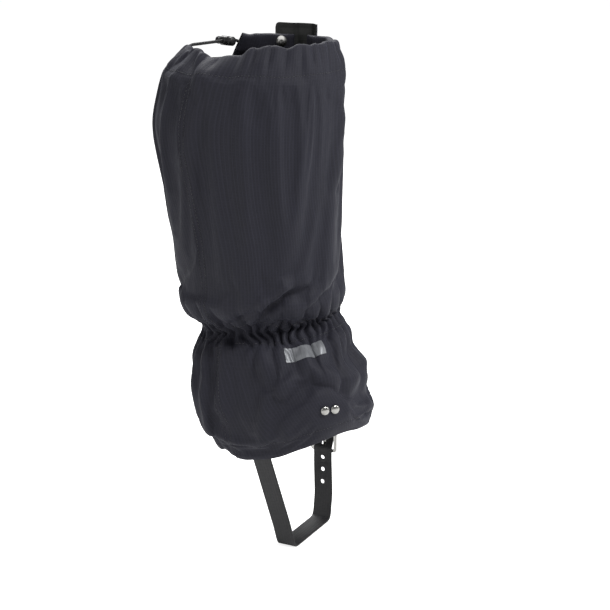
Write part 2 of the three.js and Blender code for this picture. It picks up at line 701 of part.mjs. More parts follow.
// the puller's eye turns on the axle between the slider's ears
function puller() {
  const eyeHalf = PULLER_W / 2 - 1.4 - RUN;
  const eye = rod(pivotR + 0.15, new Vector3(pullerX, ZIP_Y - eyeHalf, pivotZ),
    new Vector3(pullerX, ZIP_Y + eyeHalf, pivotZ), 12);
  const neck = box(pullerX - PULLER_T / 2, pullerX + PULLER_T / 2, ZIP_Y - eyeHalf, ZIP_Y + eyeHalf,
    pivotZ - 3.2, pivotZ);
  const blade = box(pullerX - PULLER_T / 2, pullerX + PULLER_T / 2, ZIP_Y - PULLER_W / 2, ZIP_Y + PULLER_W / 2,
    pivotZ - PULLER_L, pivotZ - 2.8);
  const bored = rod(pivotR - 0.35 + 0.15, new Vector3(pullerX, ZIP_Y - 4, pivotZ),
    new Vector3(pullerX, ZIP_Y + 4, pivotZ), 12);
  const finger = rod(1.4, new Vector3(pullerX - 2, ZIP_Y, pivotZ - PULLER_L + 3.5),
    new Vector3(pullerX + 2, ZIP_Y, pivotZ - PULLER_L + 3.5), 12);
  return cut(join(eye, neck, blade), bored, finger);
}

add("zip_slider", "nickel", slider());
add("zip_puller", "nickel", puller());

// ---- storm flap ---------------------------------------------------------------------------------

const flapRoot = GAP + 0.1 + FLAP_T / 2;
const flapOverLoop = GAP + LOOP_T + GAP + HOOK_T + GAP + FLAP_T / 2;

// the flap's mid-line as [height above the panels, y], from its sewn edge to its free edge
const flapLine = [[flapRoot, FLAP_HINGE_Y], [flapRoot + 0.4, FLAP_HINGE_Y + 2.5],
  [FLAP_OVER_ZIP, FLAP_HINGE_Y + 8], [FLAP_OVER_ZIP, rearEdge - 0.5],
  [flapOverLoop, LOOP_START_Y - 0.2], [flapOverLoop, FLAP_FREE_Y]];

function ribbon(line, thickness) {
  const mid = line.map(([x, y]) => new Vector2(x, y));
  const sides = [[], []];
  mid.forEach((point, i) => {
    const before = point.clone().sub(mid[Math.max(i - 1, 0)]).normalize();
    const after = mid[Math.min(i + 1, mid.length - 1)].clone().sub(point).normalize();
    const along = before.add(after).normalize();
    const normal = new Vector2(along.y, -along.x).multiplyScalar(thickness / 2);
    sides[0].push(point.clone().add(normal));
    sides[1].unshift(point.clone().sub(normal));
  });
  return new Shape([...sides[0], ...sides[1]]);
}

const flapPlate = prism(ribbon(flapLine, FLAP_T), FLAP_BOTTOM, FLAP_TOP).translate(FACE_X, 0, 0);
add("storm_flap", "shell", cut(flapPlate, ...studs.map(studHole)));
const stripEnd = FLAP_HINGE_Y - FLAP_T / 2 - GAP;
add("flap_seam_strip", "shell", box(FACE_X + GAP, FACE_X + GAP + FLAP_T, stripEnd - SEAM_STRIP_W, stripEnd,
  FLAP_BOTTOM, RIM_Z - 3));
const loopZ = [BOTTOM_STUD_Z + CAP_R + 2, TOP_STUD_Z - CAP_R - 8];
add("loop_strip", "lining", box(FACE_X + GAP, FACE_X + GAP + LOOP_T, LOOP_START_Y, LOOP_START_Y + LOOP_W, ...loopZ));
const hookX = FACE_X + GAP + LOOP_T + GAP;
add("hook_strip", "lining", box(hookX, hookX + HOOK_T, LOOP_START_Y + 1, LOOP_START_Y + LOOP_W - 1, ...loopZ));

// ---- press studs --------------------------------------------------------------------------------

const flapFace = flapOverLoop + FLAP_T / 2;
const flapBack = flapOverLoop - FLAP_T / 2;
const knobTop = flapBack - GAP - 0.6;

function studCap(stud) {
  const foot = knobTop + GAP;
  const seat = flapFace + GAP - foot;
  const profile = [[0, 0], [STUD_SHANK_R, 0], [STUD_SHANK_R, seat], [CAP_R, seat], [CAP_R, seat + 0.5],
    [CAP_R * 0.8, seat + CAP_H * 0.75], [CAP_R * 0.4, seat + CAP_H], [0, seat + CAP_H]];
  return turned(profile, 20, atStud(stud, foot), outward);
}

function studSocket(stud) {
  const low = GAP + 0.8 + GAP;
  const high = flapBack - GAP;
  const hole = STUD_KNOB_R + RUN;
  const profile = [[hole, low], [STUD_R, low], [STUD_R, high], [hole, high], [hole, low]];
  return turned(profile, 20, atStud(stud, 0), outward);
}

function studMale(stud) {
  const profile = [[0, GAP], [STUD_R, GAP], [STUD_R, GAP + 0.8], [STUD_KNOB_R - 0.3, GAP + 0.8],
    [STUD_KNOB_R, GAP + 1.6], [STUD_KNOB_R - 0.4, knobTop], [0, knobTop]];
  return turned(profile, 20, atStud(stud, 0), outward);
}

// a ring inside the hem whose shank passes through the cloth
function studPost(stud) {
  const inner = stud.through + GAP;
  const profile = [[0, -inner - 1], [STUD_R + 0.5, -inner - 1], [STUD_R + 0.5, -inner], [STUD_SHANK_R, -inner],
    [STUD_SHANK_R, 0], [0, 0]];
  return turned(profile, 20, atStud(stud, 0), outward);
}

for (const stud of studs) {
  add(`${stud.name}_stud_cap`, "nickel", studCap(stud));
  add(`${stud.name}_stud_socket`, "nickel", studSocket(stud));
  add(`${stud.name}_stud_male`, "nickel", studMale(stud));
  add(`${stud.name}_stud_post`, "nickel", studPost(stud));
}

// ---- lace hook ----------------------------------------------------------------------------------

const patchHalf = radians(13);
const patch = layer(hookZ - 14, hookZ + 12, () => hookAngle - patchHalf, () => hookAngle + patchHalf,
  bandAt + HOOK_EASE, BAND, 8, 3);
add("lace_hook_patch", "lining", cut(patch, ...rivetHoles));

// a plate behind the cloth whose tongue runs down to the hem and curls up to catch a lace
function laceHook() {
  const front = -hookPlateInset;
  const plate = box(-HOOK_PLATE_W / 2, HOOK_PLATE_W / 2, -HOOK_PLATE_H / 2, HOOK_PLATE_H / 2,
    front - HOOK_PLATE_T, front);
  const low = -HOOK_PLATE_H / 2 - HOOK_TONGUE_L;
  const outerR = HOOK_CURL_R + HOOK_PLATE_T / 2;
  const innerR = HOOK_CURL_R - HOOK_PLATE_T / 2;
  const centre = front - HOOK_TONGUE_LEAN - HOOK_PLATE_T / 2 - HOOK_CURL_R;
  const side = new Shape();
  side.moveTo(front, -HOOK_PLATE_H / 2 + 1);
  side.lineTo(centre + outerR, low);
  side.absarc(centre, low, outerR, 0, -Math.PI, true);
  side.lineTo(centre - outerR, low + 7);
  side.lineTo(centre - innerR, low + 7);
  side.absarc(centre, low, innerR, -Math.PI, 0, false);
  side.lineTo(front - HOOK_PLATE_T, -HOOK_PLATE_H / 2 + 1);
  const stand = new Matrix4().makeBasis(new Vector3(0, 0, 1), new Vector3(0, 1, 0), new Vector3(-1, 0, 0));
  const tongue = prism(side, -HOOK_TONGUE_W / 2, HOOK_TONGUE_W / 2).applyMatrix4(stand);
  return join(plate, tongue).applyMatrix4(hookFrame);
}

add("lace_hook", "nickel", cut(laceHook(), ...rivetHoles));
const burrAt = -hookPlateInset - HOOK_PLATE_T - GAP;
for (const i of [0, 1]) {
  const name = `lace_hook_rivet_${i ? "front" : "rear"}`;
  const seat = GAP - burrAt + 1;
  add(name, "nickel", turned([[0, 0], [RIVET_SHANK_R, 0], [RIVET_SHANK_R, seat], [RIVET_R, seat],
    [RIVET_R, seat + 0.5], [RIVET_R * 0.78, seat + RIVET_DOME * 0.72], [RIVET_R * 0.4, seat + RIVET_DOME],
    [0, seat + RIVET_DOME]], 20, atRivet(i, burrAt - 1), hookOut));
  const hole = RIVET_SHANK_R + RUN;
  add(`lace_hook_burr_${i ? "front" : "rear"}`, "nickel", turned([[hole, 0], [3.4, 0], [3.4, 0.7], [hole, 0.7],
    [hole, 0]], 16, atRivet(i, burrAt - 0.7), hookOut));
}

// ---- underfoot strap and buckle -----------------------------------------------------------------

// a line through the points with each corner rounded over the reach given for it
function rounded(points, reaches, steps) {
  const line = [points[0]];
  for (let i = 1; i < points.length - 1; i++) {
    const [a, b, c] = [points[i - 1], points[i], points[i + 1]];
    const back = a.clone().sub(b);
    const on = c.clone().sub(b);
    const reach = Math.min(reaches[i], back.length() * 0.45, on.length() * 0.45);
    const start = b.clone().addScaledVector(back.normalize(), reach);
    const end = b.clone().addScaledVector(on.normalize(), reach);
    const bend = new THREE.QuadraticBezierCurve3(start, b, end);
    line.push(...bend.getPoints(steps));
  }
  line.push(points[points.length - 1]);
  return line;
}

// a flat strap whose mid-line follows the points, its width held as near to Y as they allow
function strapAlong(points, width, thickness) {
  const rings = points.map((point, i) => {
    const before = points[Math.max(i - 1, 0)];
    const after = points[Math.min(i + 1, points.length - 1)];
    const along = after.clone().sub(before).normalize();
    const wide = new Vector3(0, 1, 0);
    wide.addScaledVector(along, -wide.dot(along)).normalize().multiplyScalar(width / 2);
    const thick = new Vector3().crossVectors(along, wide).normalize().multiplyScalar(thickness / 2);
    return [[1, 1], [-1, 1], [-1, -1], [1, -1]].map(([a, b]) =>
      point.clone().addScaledVector(wide, a).addScaledVector(thick, b));
  });
  const index = [];
  const positions = rings.flat().flatMap((p) => p.toArray());
  for (let j = 0; j < rings.length - 1; j++) {
    for (let i = 0; i < 4; i++) {
      const [a, b] = [j * 4 + i, j * 4 + ((i + 1) % 4)];
      index.push(a, b, b + 4, a, b + 4, a + 4);
    }
  }
  const last = (rings.length - 1) * 4;
  index.push(0, 2, 1, 0, 3, 2, last, last + 1, last + 2, last, last + 2, last + 3);
  const geometry = new THREE.BufferGeometry();
  geometry.setAttribute("position", new THREE.Float32BufferAttribute(positions, 3));
  geometry.setIndex(index);
  return geometry;
}

const tabInset = SHELL + SEWN + BAND_EASE + BAND + SEWN;
const barX = FACE_X - tabInset - TAB_T / 2;
const ringIn = (BUCKLE_BAR / 2) * Math.SQRT2 + RUN;
const tabRing = ringIn + TAB_T / 2;
const behindBar = barX - BUCKLE_BAR / 2 - 0.4 - STRAP_T / 2;
const beforeTab = barX + tabRing + 1.5 + STRAP_T / 2;
const outerAngle = radians(180) - Math.asin(power(
  (STRAP_OUTER_Y - measure("back", HEM_Z)) / measure("along", HEM_Z), SQUARENESS / 2));
const strapInset = tabInset + STRAP_EASE + STRAP_T / 2;

function strapLine() {
  const tucked = [STRAP_TUCK, STRAP_TUCK / 2, 1].map((up) => {
    const p = onBody(HEM_Z + up, outerAngle, strapInset);
    return new Vector3(p.x, STRAP_OUTER_Y, p.z);
  });
  const floor = STRAP_T / 2;
  return rounded([
    ...tucked,
    new Vector3(-SOLE_HALF - 6, STRAP_SOLE_Y + 2, 24),
    new Vector3(-SOLE_HALF, STRAP_SOLE_Y, floor),
    new Vector3(SOLE_HALF, STRAP_SOLE_Y, floor),
    new Vector3(SOLE_HALF + 6, STRAP_SOLE_Y + 1, 24),
    new Vector3(behindBar, STRAP_INNER_Y, BUCKLE_Z - 30),
    new Vector3(behindBar, STRAP_INNER_Y, BUCKLE_Z - 16),
    new Vector3(beforeTab, STRAP_INNER_Y, BUCKLE_Z + 1),
    new Vector3(beforeTab, STRAP_INNER_Y, BUCKLE_Z + 12),
  ], [0, 3, 9, 9, 9, 9, 9, 9, 2.5, 2.5, 0], 4);
}

function strap() {
  const slot = box(barX - 8, barX + 12, STRAP_INNER_Y - PRONG_W / 2 - 0.7, STRAP_INNER_Y + PRONG_W / 2 + 0.7,
    BUCKLE_Z - 13, BUCKLE_Z + 1.5);
  const holes = [];
  for (let i = 0; i < STRAP_HOLES; i++) {
    const z = BUCKLE_Z - 26 - i * STRAP_HOLE_PITCH;
    const y = STRAP_INNER_Y - i * 1.2;
    holes.push(rod(STRAP_HOLE_R, new Vector3(barX - 20, y, z), new Vector3(barX + 10, y, z), 12));
  }
  return cut(strapAlong(strapLine(), STRAP_W, STRAP_T), slot, ...holes);
}

add("underfoot_strap", "strap", strap());

// a patch sewn over the tucked end of the strap
function anchorPatch() {
  const points = [STRAP_TUCK + 2, STRAP_TUCK / 2, 6].map((up) => {
    const p = onBody(HEM_Z + up, outerAngle, strapInset + STRAP_T / 2 + SEWN + BAND / 2 + 0.2);
    return new Vector3(p.x, STRAP_OUTER_Y, p.z);
  });
  return strapAlong(points, STRAP_W + 6, BAND);
}

add("strap_anchor_patch", "lining", anchorPatch());

// webbing folded round the buckle's heel bar and sewn inside the hem
function buckleTab() {
  const side = new Shape();
  const foot = Math.asin(TAB_T / 2 / tabRing);
  side.moveTo(TAB_T / 2, TAB_UP);
  side.lineTo(-TAB_T / 2, TAB_UP);
  side.lineTo(-TAB_T / 2, tabRing * Math.cos(foot));
  side.absarc(0, 0, tabRing, Math.PI / 2 + foot, Math.PI / 2 - foot + turn, false);
  const hole = new Path();
  hole.absarc(0, 0, ringIn, 0, turn, true);
  side.holes.push(hole);
  const halfW = STRAP_W / 2;
  const tab = slab(side, STRAP_INNER_Y - halfW, STRAP_INNER_Y + halfW).translate(barX, 0, BUCKLE_Z);
  const room = PRONG_W / 2 + 0.6;
  return cut(tab, box(barX - tabRing - 1, barX + tabRing + 1, STRAP_INNER_Y - room, STRAP_INNER_Y + room,
    BUCKLE_Z - tabRing - 1, BUCKLE_Z + tabRing + 0.5));
}

function buckleFrame() {
  const [w, top, low] = [STRAP_W / 2 + 4, BUCKLE_BAR / 2, BUCKLE_BAR / 2 - BUCKLE_H];
  const r = 2.5;
  const plate = new Shape();
  plate.moveTo(-w, top);
  plate.lineTo(-w, low + r);
  plate.absarc(-w + r, low + r, r, Math.PI, Math.PI * 1.5, false);
  plate.lineTo(w - r, low);
  plate.absarc(w - r, low + r, r, -Math.PI / 2, 0, false);
  plate.lineTo(w, top);
  const hole = new Path([[-w + 2.8, -top], [w - 2.8, -top], [w - 2.8, low + 2.8], [-w + 2.8, low + 2.8]].map(
    ([x, y]) => new Vector2(x, y)));
  plate.holes.push(hole);
  const stand = new Matrix4().makeBasis(new Vector3(0, 1, 0), new Vector3(0, 0, 1), new Vector3(1, 0, 0));
  return prism(plate, -BUCKLE_BAR / 2, BUCKLE_BAR / 2).applyMatrix4(stand.setPosition(barX, STRAP_INNER_Y, BUCKLE_Z));
}

// the prong's eye turns on the heel bar, and its tip rests on the front of the end bar
function buckleProng() {
  const eyeR = ringIn + 1;
  const tip = BUCKLE_BAR / 2 - BUCKLE_H + 0.4;
  const rest = BUCKLE_BAR / 2 + GAP;
  const side = outline([[1.0, -1.6], [rest, tip], [rest + 1.7, tip], [rest + 1.9, tip + 3], [eyeR - 0.1, -0.6],
    [ringIn + 0.2, 0.4], [1.6, 0.2]]);
  const eye = rod(eyeR, new Vector3(0, -PRONG_W / 2, 0), new Vector3(0, PRONG_W / 2, 0), 20);
  const bored = rod(ringIn, new Vector3(0, -5, 0), new Vector3(0, 5, 0), 16);
  const whole = cut(join(eye, slab(side, -PRONG_W / 2, PRONG_W / 2)), bored);
  return whole.translate(barX, STRAP_INNER_Y, BUCKLE_Z);
}

add("buckle_tab", "strap", buckleTab());
add("buckle_frame", "nickel", buckleFrame());
add("buckle_prong", "nickel", buckleProng());

// ---- reflective strip ---------------------------------------------------------------------------

add("reflective_strip", "print", layer(STRIP_Z - STRIP_H / 2, STRIP_Z + STRIP_H / 2, () => radians(STRIP_FROM),
  () => radians(STRIP_TO), -GAP - 0.5, 0.5, 10, 2));

export default group;
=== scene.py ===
"""The looks of a knee-length hiking gaiter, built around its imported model.

Shapes are worked out in millimetres, in the frame of the model (+Z up the leg, toes towards -Y,
zip towards +X), and are turned to metres where they become meshes.
"""

import math

import bmesh
import bpy
import numpy as np
from bpy.props import FloatProperty, FloatVectorProperty, IntProperty, PointerProperty
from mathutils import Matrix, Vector


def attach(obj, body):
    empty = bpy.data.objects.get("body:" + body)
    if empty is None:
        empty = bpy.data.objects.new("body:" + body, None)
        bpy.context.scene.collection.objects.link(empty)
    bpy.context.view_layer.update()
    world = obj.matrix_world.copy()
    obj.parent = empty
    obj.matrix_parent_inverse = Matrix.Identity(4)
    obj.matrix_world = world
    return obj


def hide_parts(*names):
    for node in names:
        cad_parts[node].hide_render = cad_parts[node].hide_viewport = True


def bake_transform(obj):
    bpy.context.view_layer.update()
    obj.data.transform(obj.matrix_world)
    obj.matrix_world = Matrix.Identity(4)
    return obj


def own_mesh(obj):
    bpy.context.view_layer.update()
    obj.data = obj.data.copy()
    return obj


bl_info = {
    "name": "Hiking Gaiter",
    "version": (1, 0, 0),
    "blender": (4, 5, 0),
    "location": "3D View > Sidebar > Gaiter",
    "description": "Builds the cloth, fastenings and strap of a hiking gaiter around its frame",
    "category": "Object",
}

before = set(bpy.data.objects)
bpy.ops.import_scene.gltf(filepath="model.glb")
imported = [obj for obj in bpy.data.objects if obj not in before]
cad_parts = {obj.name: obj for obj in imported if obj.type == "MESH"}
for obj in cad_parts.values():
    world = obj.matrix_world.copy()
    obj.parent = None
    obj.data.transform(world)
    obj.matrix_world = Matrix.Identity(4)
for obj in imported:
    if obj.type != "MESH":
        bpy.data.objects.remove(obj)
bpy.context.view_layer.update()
MM = 0.001
TURN = 2 * math.pi

# ---- the tube, as in the frame --------------------------------------------------------------------

HEM_Z, WAIST_Z, RIM_Z = 104.0, 214.0, 481.0
# height, half width across the leg, half depth along the foot, centre behind the axis, lift in front
SECTIONS = np.array([
    [HEM_Z, 62, 74, -27, 14],
    [HEM_Z + 24, 68, 84, -24, 13],
    [HEM_Z + 51, 70, 86, -16, 11],
    [WAIST_Z - 29, 64, 77, -8, 9],
    [WAIST_Z - 14, 57, 67, -3, 8],
    [WAIST_Z, 53, 61, 1, 8],
    [WAIST_Z + 15, 58, 67, 3, 7],
    [WAIST_Z + 36, 64, 78, 5, 5],
    [WAIST_Z + 86, 67, 80, 6, 2],
    [RIM_Z - 129, 71, 85, 10, 0],
    [RIM_Z - 71, 73, 92, 13, 0],
    [RIM_Z - 31, 67, 83, 9, 0],
    [RIM_Z, 56, 68, 5, 0],
], float)
ACROSS, ALONG, BACK, LIFT = 1, 2, 3, 4
SQUARENESS = 2.3
HEM_RISE, HEM_RISE_AT = 6.0, 242.0
HEM_DIP, HEM_DIP_AT = 9.0, 172.0
HEM_WAVE_WIDTH, HEM_WAVE_FADES = 28.0, 90.0
FACE_X, ZIP_Y = 60.0, -6.0
FLAT_HALF, FLAT_FADE = 28.0, 17.0
PANEL_EDGE = 7.0  # from the zip's middle to a panel's edge
SIDE_SEAM = math.radians(167)
TUNNEL_H, TUNNEL_T = 26.0, 7.0
SHORT_TUNNEL_END, LONG_TUNNEL_END = math.radians(40), math.radians(112)
CLOTH_T = 0.7
LAP = 7.0  # the front panels' turned edge lies this far over the rear ones
ELASTIC_H = 25.0
ELASTIC_ROW = 12.0  # from the waist to each stitched edge of the elastic
HEM_ROW = 16.0  # the hem's stitching above its edge
GIRTH = 430.0  # of the cut cloth, which the weave follows
HOOK_DEG, HOOK_Z = 234.5, HEM_Z + 36


def smoothstep(x):
    """0 below 0, 1 above 1, and 3x^2 - 2x^3 between."""
    t = np.clip(x, 0, 1)
    return t * t * (3 - 2 * t)


def signed_power(x, exponent):
    return np.sign(x) * np.abs(x) ** exponent


def measure(column, z):
    """A section's measure at heights z, by cubics through the sections.

    Each section's slope is that of the line between its neighbours.
    """
    x, y = SECTIONS[:, 0], SECTIONS[:, column]
    last = len(x) - 1
    before, after = np.clip(np.arange(last + 1) - 1, 0, last), np.clip(np.arange(last + 1) + 1, 0, last)
    slope = (y[after] - y[before]) / (x[after] - x[before])
    i = np.clip(np.searchsorted(x, z) - 1, 0, last - 1)
    step = x[i + 1] - x[i]
    t = np.clip((z - x[i]) / step, 0, 1)
    ends = (2 * t**3 - 3 * t**2 + 1) * y[i] + (3 * t**2 - 2 * t**3) * y[i + 1]
    return ends + step * ((t**3 - 2 * t**2 + t) * slope[i] + (t**3 - t**2) * slope[i + 1])


def bump(theta, degrees, width):
    """A bell of height 1 round the tube at the angle given in degrees."""
    away = np.degrees(theta) - degrees
    away = (away + 180) % 360 - 180
    return np.exp(-((away / width) ** 2))


def angle_at(z, y):
    """The angle at which the closure side of the section at z has this y."""
    return np.arcsin(signed_power((y - measure(BACK, z)) / measure(ALONG, z), SQUARENESS / 2))


def tube_point(z, theta):
    """A rounded-square section, x = cx + a cos^(2/n), y = cy + b sin^(2/n).

    It is flattened to the closure's plane, lifted in front and waved at the hem.
    """
    z, theta = np.broadcast_arrays(np.asarray(z, float), np.asarray(theta, float))
    across, along, back = measure(ACROSS, z), measure(ALONG, z), measure(BACK, z)
    c, s = np.cos(theta), np.sin(theta)
    centre = FACE_X - across * (1 - np.abs(back / along) ** SQUARENESS) ** (1 / SQUARENESS)
    x = centre + across * signed_power(c, 2 / SQUARENESS)
    y = back + along * signed_power(s, 2 / SQUARENESS)
    flat = np.where(c > 0, smoothstep((FLAT_HALF + FLAT_FADE - np.abs(y - ZIP_Y)) / FLAT_FADE), 0)
    rise, dip = bump(theta, HEM_RISE_AT, HEM_WAVE_WIDTH), bump(theta, HEM_DIP_AT, HEM_WAVE_WIDTH)
    wave = HEM_RISE * rise - HEM_DIP * dip
    fade = np.clip(1 - (z - HEM_Z) / HEM_WAVE_FADES, 0, 1)
    up = z - measure(LIFT, z) * s + fade * wave
    return np.stack([x * (1 - flat) + FACE_X * flat, y, up], -1)


def unit(v):
    return v / np.maximum(np.linalg.norm(v, axis=-1, keepdims=True), 1e-12)


def tube_normal(z, theta):
    """Outwards: the way round the section crossed with the way up."""
    d, up = 1e-3, 0.5
    around = tube_point(z, theta + d) - tube_point(z, theta - d)
    rise = tube_point(np.minimum(z + up, RIM_Z), theta) - tube_point(np.maximum(z - up, HEM_Z), theta)
    return unit(np.cross(around, rise))


# ---- folds ----------------------------------------------------------------------------------------


def gathers(theta, number, seed, sharpness=0.8):
    """Rounded ridges with narrow valleys, 0 to 1: |sin| of half an uneven phase, each of its own height."""
    rng = np.random.default_rng(seed)
    phase, height = number * theta, np.full_like(theta, 0.8)
    for k in (3, 5, 8, 13):
        a, b = rng.uniform(0, TURN, 2)
        phase = phase + rng.uniform(2.2, 3.4) / k * np.sin(k * theta + a)
        height = height + 0.07 * np.sin((k + 2) * theta + b)
    return height * np.abs(np.sin(phase / 2)) ** sharpness


def ripple(z, theta, seed, count, low, high, turns):
    """A sum of slanting sine waves round and up the tube, of about unit height."""
    rng = np.random.default_rng(seed)
    total = np.zeros_like(z)
    for _ in range(count):
        k, length, phase = rng.integers(1, turns + 1), rng.uniform(low, high), rng.uniform(0, TURN)
        total = total + np.sin(k * theta + rng.choice((-1, 1)) * TURN * z / length + phase)
    return total / math.sqrt(count)


# long soft creases: start and end as (degrees round, height), half width, depth
CREASES = (
    ((198, 228), (209, 246), 4.6, 6.0),
    ((209, 246), (222, 256), 4.6, 6.0),
    ((222, 256), (238, 258), 5.0, 4.5),
    ((186, 236), (196, 244), 4.0, 3.0),
    ((243, 244), (256, 250), 4.0, 3.0),
    ((282, 430), (292, 458), 6.0, 4.4),
    ((276, 352), (296, 392), 6.0, 4.2),
    ((284, 396), (290, 424), 6.0, 3.4),
    ((150, 470), (170, 436), 6.0, 4.6),
    ((128, 452), (146, 474), 6.0, 3.4),
    ((214, 458), (203, 428), 6.5, 2.2),
    ((238, 452), (262, 438), 6.5, 2.2),
    ((268, 456), (280, 432), 6.0, 2.2),
    ((175, 262), (188, 300), 8.0, 1.8),
    ((250, 264), (243, 316), 9.0, 1.6),
    ((120, 250), (150, 282), 8.0, 2.2),
    ((60, 258), (84, 290), 8.0, 2.4),
    ((96, 330), (118, 366), 10.0, 2.0),
    ((281, 262), (299, 300), 8.0, 2.2),
    ((200, 160), (192, 122), 5.0, 4.0),
    ((180, 190), (172, 152), 6.0, 3.0),
    ((163, 192), (158, 160), 6.0, 3.0),
    ((262, 186), (286, 160), 7.0, 2.8),
    ((157, 142), (146, 106), 5.0, 4.2),
    ((96, 184), (74, 150), 8.0, 3.0),
    ((118, 176), (126, 128), 8.0, 2.6),
    ((300, 150), (292, 112), 8.0, 2.4),
)
RADIUS = 74.0  # turns an angle to a length on the cloth


def crease(z, theta, start, end, width, depth):
    """A valley along a line on the cloth with a lower ridge on its upper side, fading at both ends."""
    flat = np.stack([np.radians((np.degrees(theta) - start[0] + 180) % 360 - 180) * RADIUS, z - start[1]], -1)
    line = np.array([math.radians(end[0] - start[0]) * RADIUS, end[1] - start[1]])
    length = np.linalg.norm(line)
    along, side = flat @ line / length, flat @ np.array([-line[1], line[0]]) / length
    side = side * (1 if line[0] >= 0 else -1)
    past = np.maximum(np.maximum(-along, along - length), 0)
    profile = -np.exp(-((side / width) ** 2)) + 0.7 * np.exp(-(((side - 2.2 * width) / (1.4 * width)) ** 2))
    return depth * profile * np.exp(-((past / (1.6 * width)) ** 2))


def skirt_arch(z, theta):
    """A broad ridge that arches across the front of the skirt, hollow beneath."""
    degrees = np.degrees(theta)
    line = np.interp(degrees, (190, 205, 216, 228, 246, 265, 290), (150, 162, 170, 175, 164, 156, 150))
    shown = smoothstep((degrees - 192) / 14) * smoothstep((306 - degrees) / 24)
    above, below = z - line - 7, z - line + 9
    arch = shown * (6.4 * np.exp(-((above / 9) ** 2)) - 5.0 * np.exp(-((below / 8) ** 2)))
    # over the instep the cloth steps out in a sharp roll
    instep = smoothstep((degrees - 264) / 18) * smoothstep((330 - degrees) / 20)
    return arch + instep * (5.0 * np.exp(-(((z - 170) / 7) ** 2)) - 5.0 * np.exp(-(((z - 185) / 6) ** 2)))


def free_of_fittings(z, theta):
    """0 where the cloth lies flat under the closure and the lace hook's rivets, 1 where it is free."""
    p = tube_point(z, theta)
    away = np.abs(p[..., 1] - ZIP_Y)
    closure = np.where(np.cos(theta) > 0, smoothstep((away - 27) / 24), 1)
    round_hook = np.hypot(np.radians(np.degrees(theta) - HOOK_DEG) * RADIUS, z - HOOK_Z)
    return closure * smoothstep((round_hook - 12) / 15)


def folds(z, theta, depth=1.0):
    """How far the cloth stands out from the smooth tube.

    The sum of the gathers at the elastic and the rim, which widen away from them, the creases, and the bag
    over the ankle.
    """
    h = z - WAIST_Z
    away = np.abs(h)
    above = h > 0
    lean = theta + 0.0012 * h * np.sin(2 * theta + 0.6)
    wander = theta + 0.05 * np.sin(h / 6.5 + 4 * theta) + 0.03 * np.sin(h / 3.1 - 7 * theta)
    fine = gathers(wander, 44, 3, 0.75)
    middle = np.where(above, gathers(lean, 23, 5), gathers(lean, 23, 7))
    broad = np.where(above, gathers(lean, 9, 11, 1.2), gathers(lean, 10, 13, 1.2))
    d = 8.0 * (fine - 0.16) * np.exp(-((h / 15) ** 4))
    d = d + 6.4 * (middle - 0.42) * np.exp(-(((away - 22) / 12) ** 2))
    d = d + np.where(above, 3.0, 5.0) * (broad - 0.5) * np.exp(-(((away - 48) / 24) ** 2))
    d = d + 3.4 * np.exp(-(((h - 32 - 6 * np.sin(2 * theta + 1)) / 13) ** 2))
    d = d + 3.0 * np.exp(-(((h + 22) / 10) ** 2)) * (0.6 + 0.4 * np.sin(2 * theta + 0.8))
    below_rim = RIM_Z - z
    d = d + 3.4 * (gathers(theta, 31, 17) - 0.45) * np.exp(-(((below_rim - 8) / 14) ** 2))
    d = d + 3.6 * (gathers(theta, 14, 19, 1.1) - 0.5) * np.exp(-(((below_rim - 36) / 20) ** 2))
    d = d + skirt_arch(z, theta)
    for start, end, width, deep in CREASES:
        d = d + crease(z, theta, start, end, width, deep)
    d = d + 0.9 * ripple(z, theta, 23, 7, 90, 220, 5) + 0.28 * ripple(z, theta, 29, 9, 22, 60, 22)
    d = d - 0.45 * np.exp(-(((z - HEM_Z - HEM_ROW) / 1.3) ** 2))
    d = d - 0.3 * np.exp(-(((below_rim - TUNNEL_H + 2) / 1.3) ** 2))
    # the cloth can't pass through what is behind it: the elastic, the hem band and the cord's channel
    room = 0.8 + (5.2 * smoothstep((away - 18) / 14) * smoothstep((z - HEM_Z - 22) / 16)
                  * smoothstep((below_rim - 26) / 16))
    d = np.where(d < 0, -room * np.tanh(-d / room), d)
    return depth * d * free_of_fittings(z, theta)


def rim_drop(z, theta):
    """How far the rim sags or stands, by smooth steps between listed angles, with small uneven waves."""
    degrees = np.degrees(theta)
    at = (60, 112, 130, 148, 157, 165, 174, 184, 196, 211, 222, 232, 246, 262, 285, 305)
    drop = (0, 5, 9, 4, 8, 12, 9, 6, 0, -3.5, 0.5, -4.5, -2.5, -3.5, -1, 0)
    near = np.clip(np.searchsorted(at, degrees) - 1, 0, len(at) - 2)
    at, drop = np.array(at, float), np.array(drop, float)
    t = smoothstep((degrees - at[near]) / (at[near + 1] - at[near]))
    uneven = 0.9 * np.sin(19 * theta + 0.4) * np.sin(5 * theta + 1.1)
    share = np.clip(1 - (RIM_Z - z) / (TUNNEL_H + 6), 0, 1) ** 1.2
    return share * (drop[near] + (drop[near + 1] - drop[near]) * t + uneven) * free_of_fittings(z, theta)


def sag(z, theta):
    """How far the slack cloth hangs down over the ankle's gathers, and bunches up below them."""
    h = z - WAIST_Z
    over = 8 * np.exp(-(((h - 22) / 11) ** 2)) * (0.75 + 0.25 * np.sin(3 * theta + 0.5))
    under = 4 * np.exp(-(((h + 21) / 9) ** 2)) * (0.75 + 0.25 * np.sin(4 * theta + 2))
    return (over - under) * free_of_fittings(z, theta)


SETTLED = {}  # the settled cloth's shift from its folded start, once it has been simulated


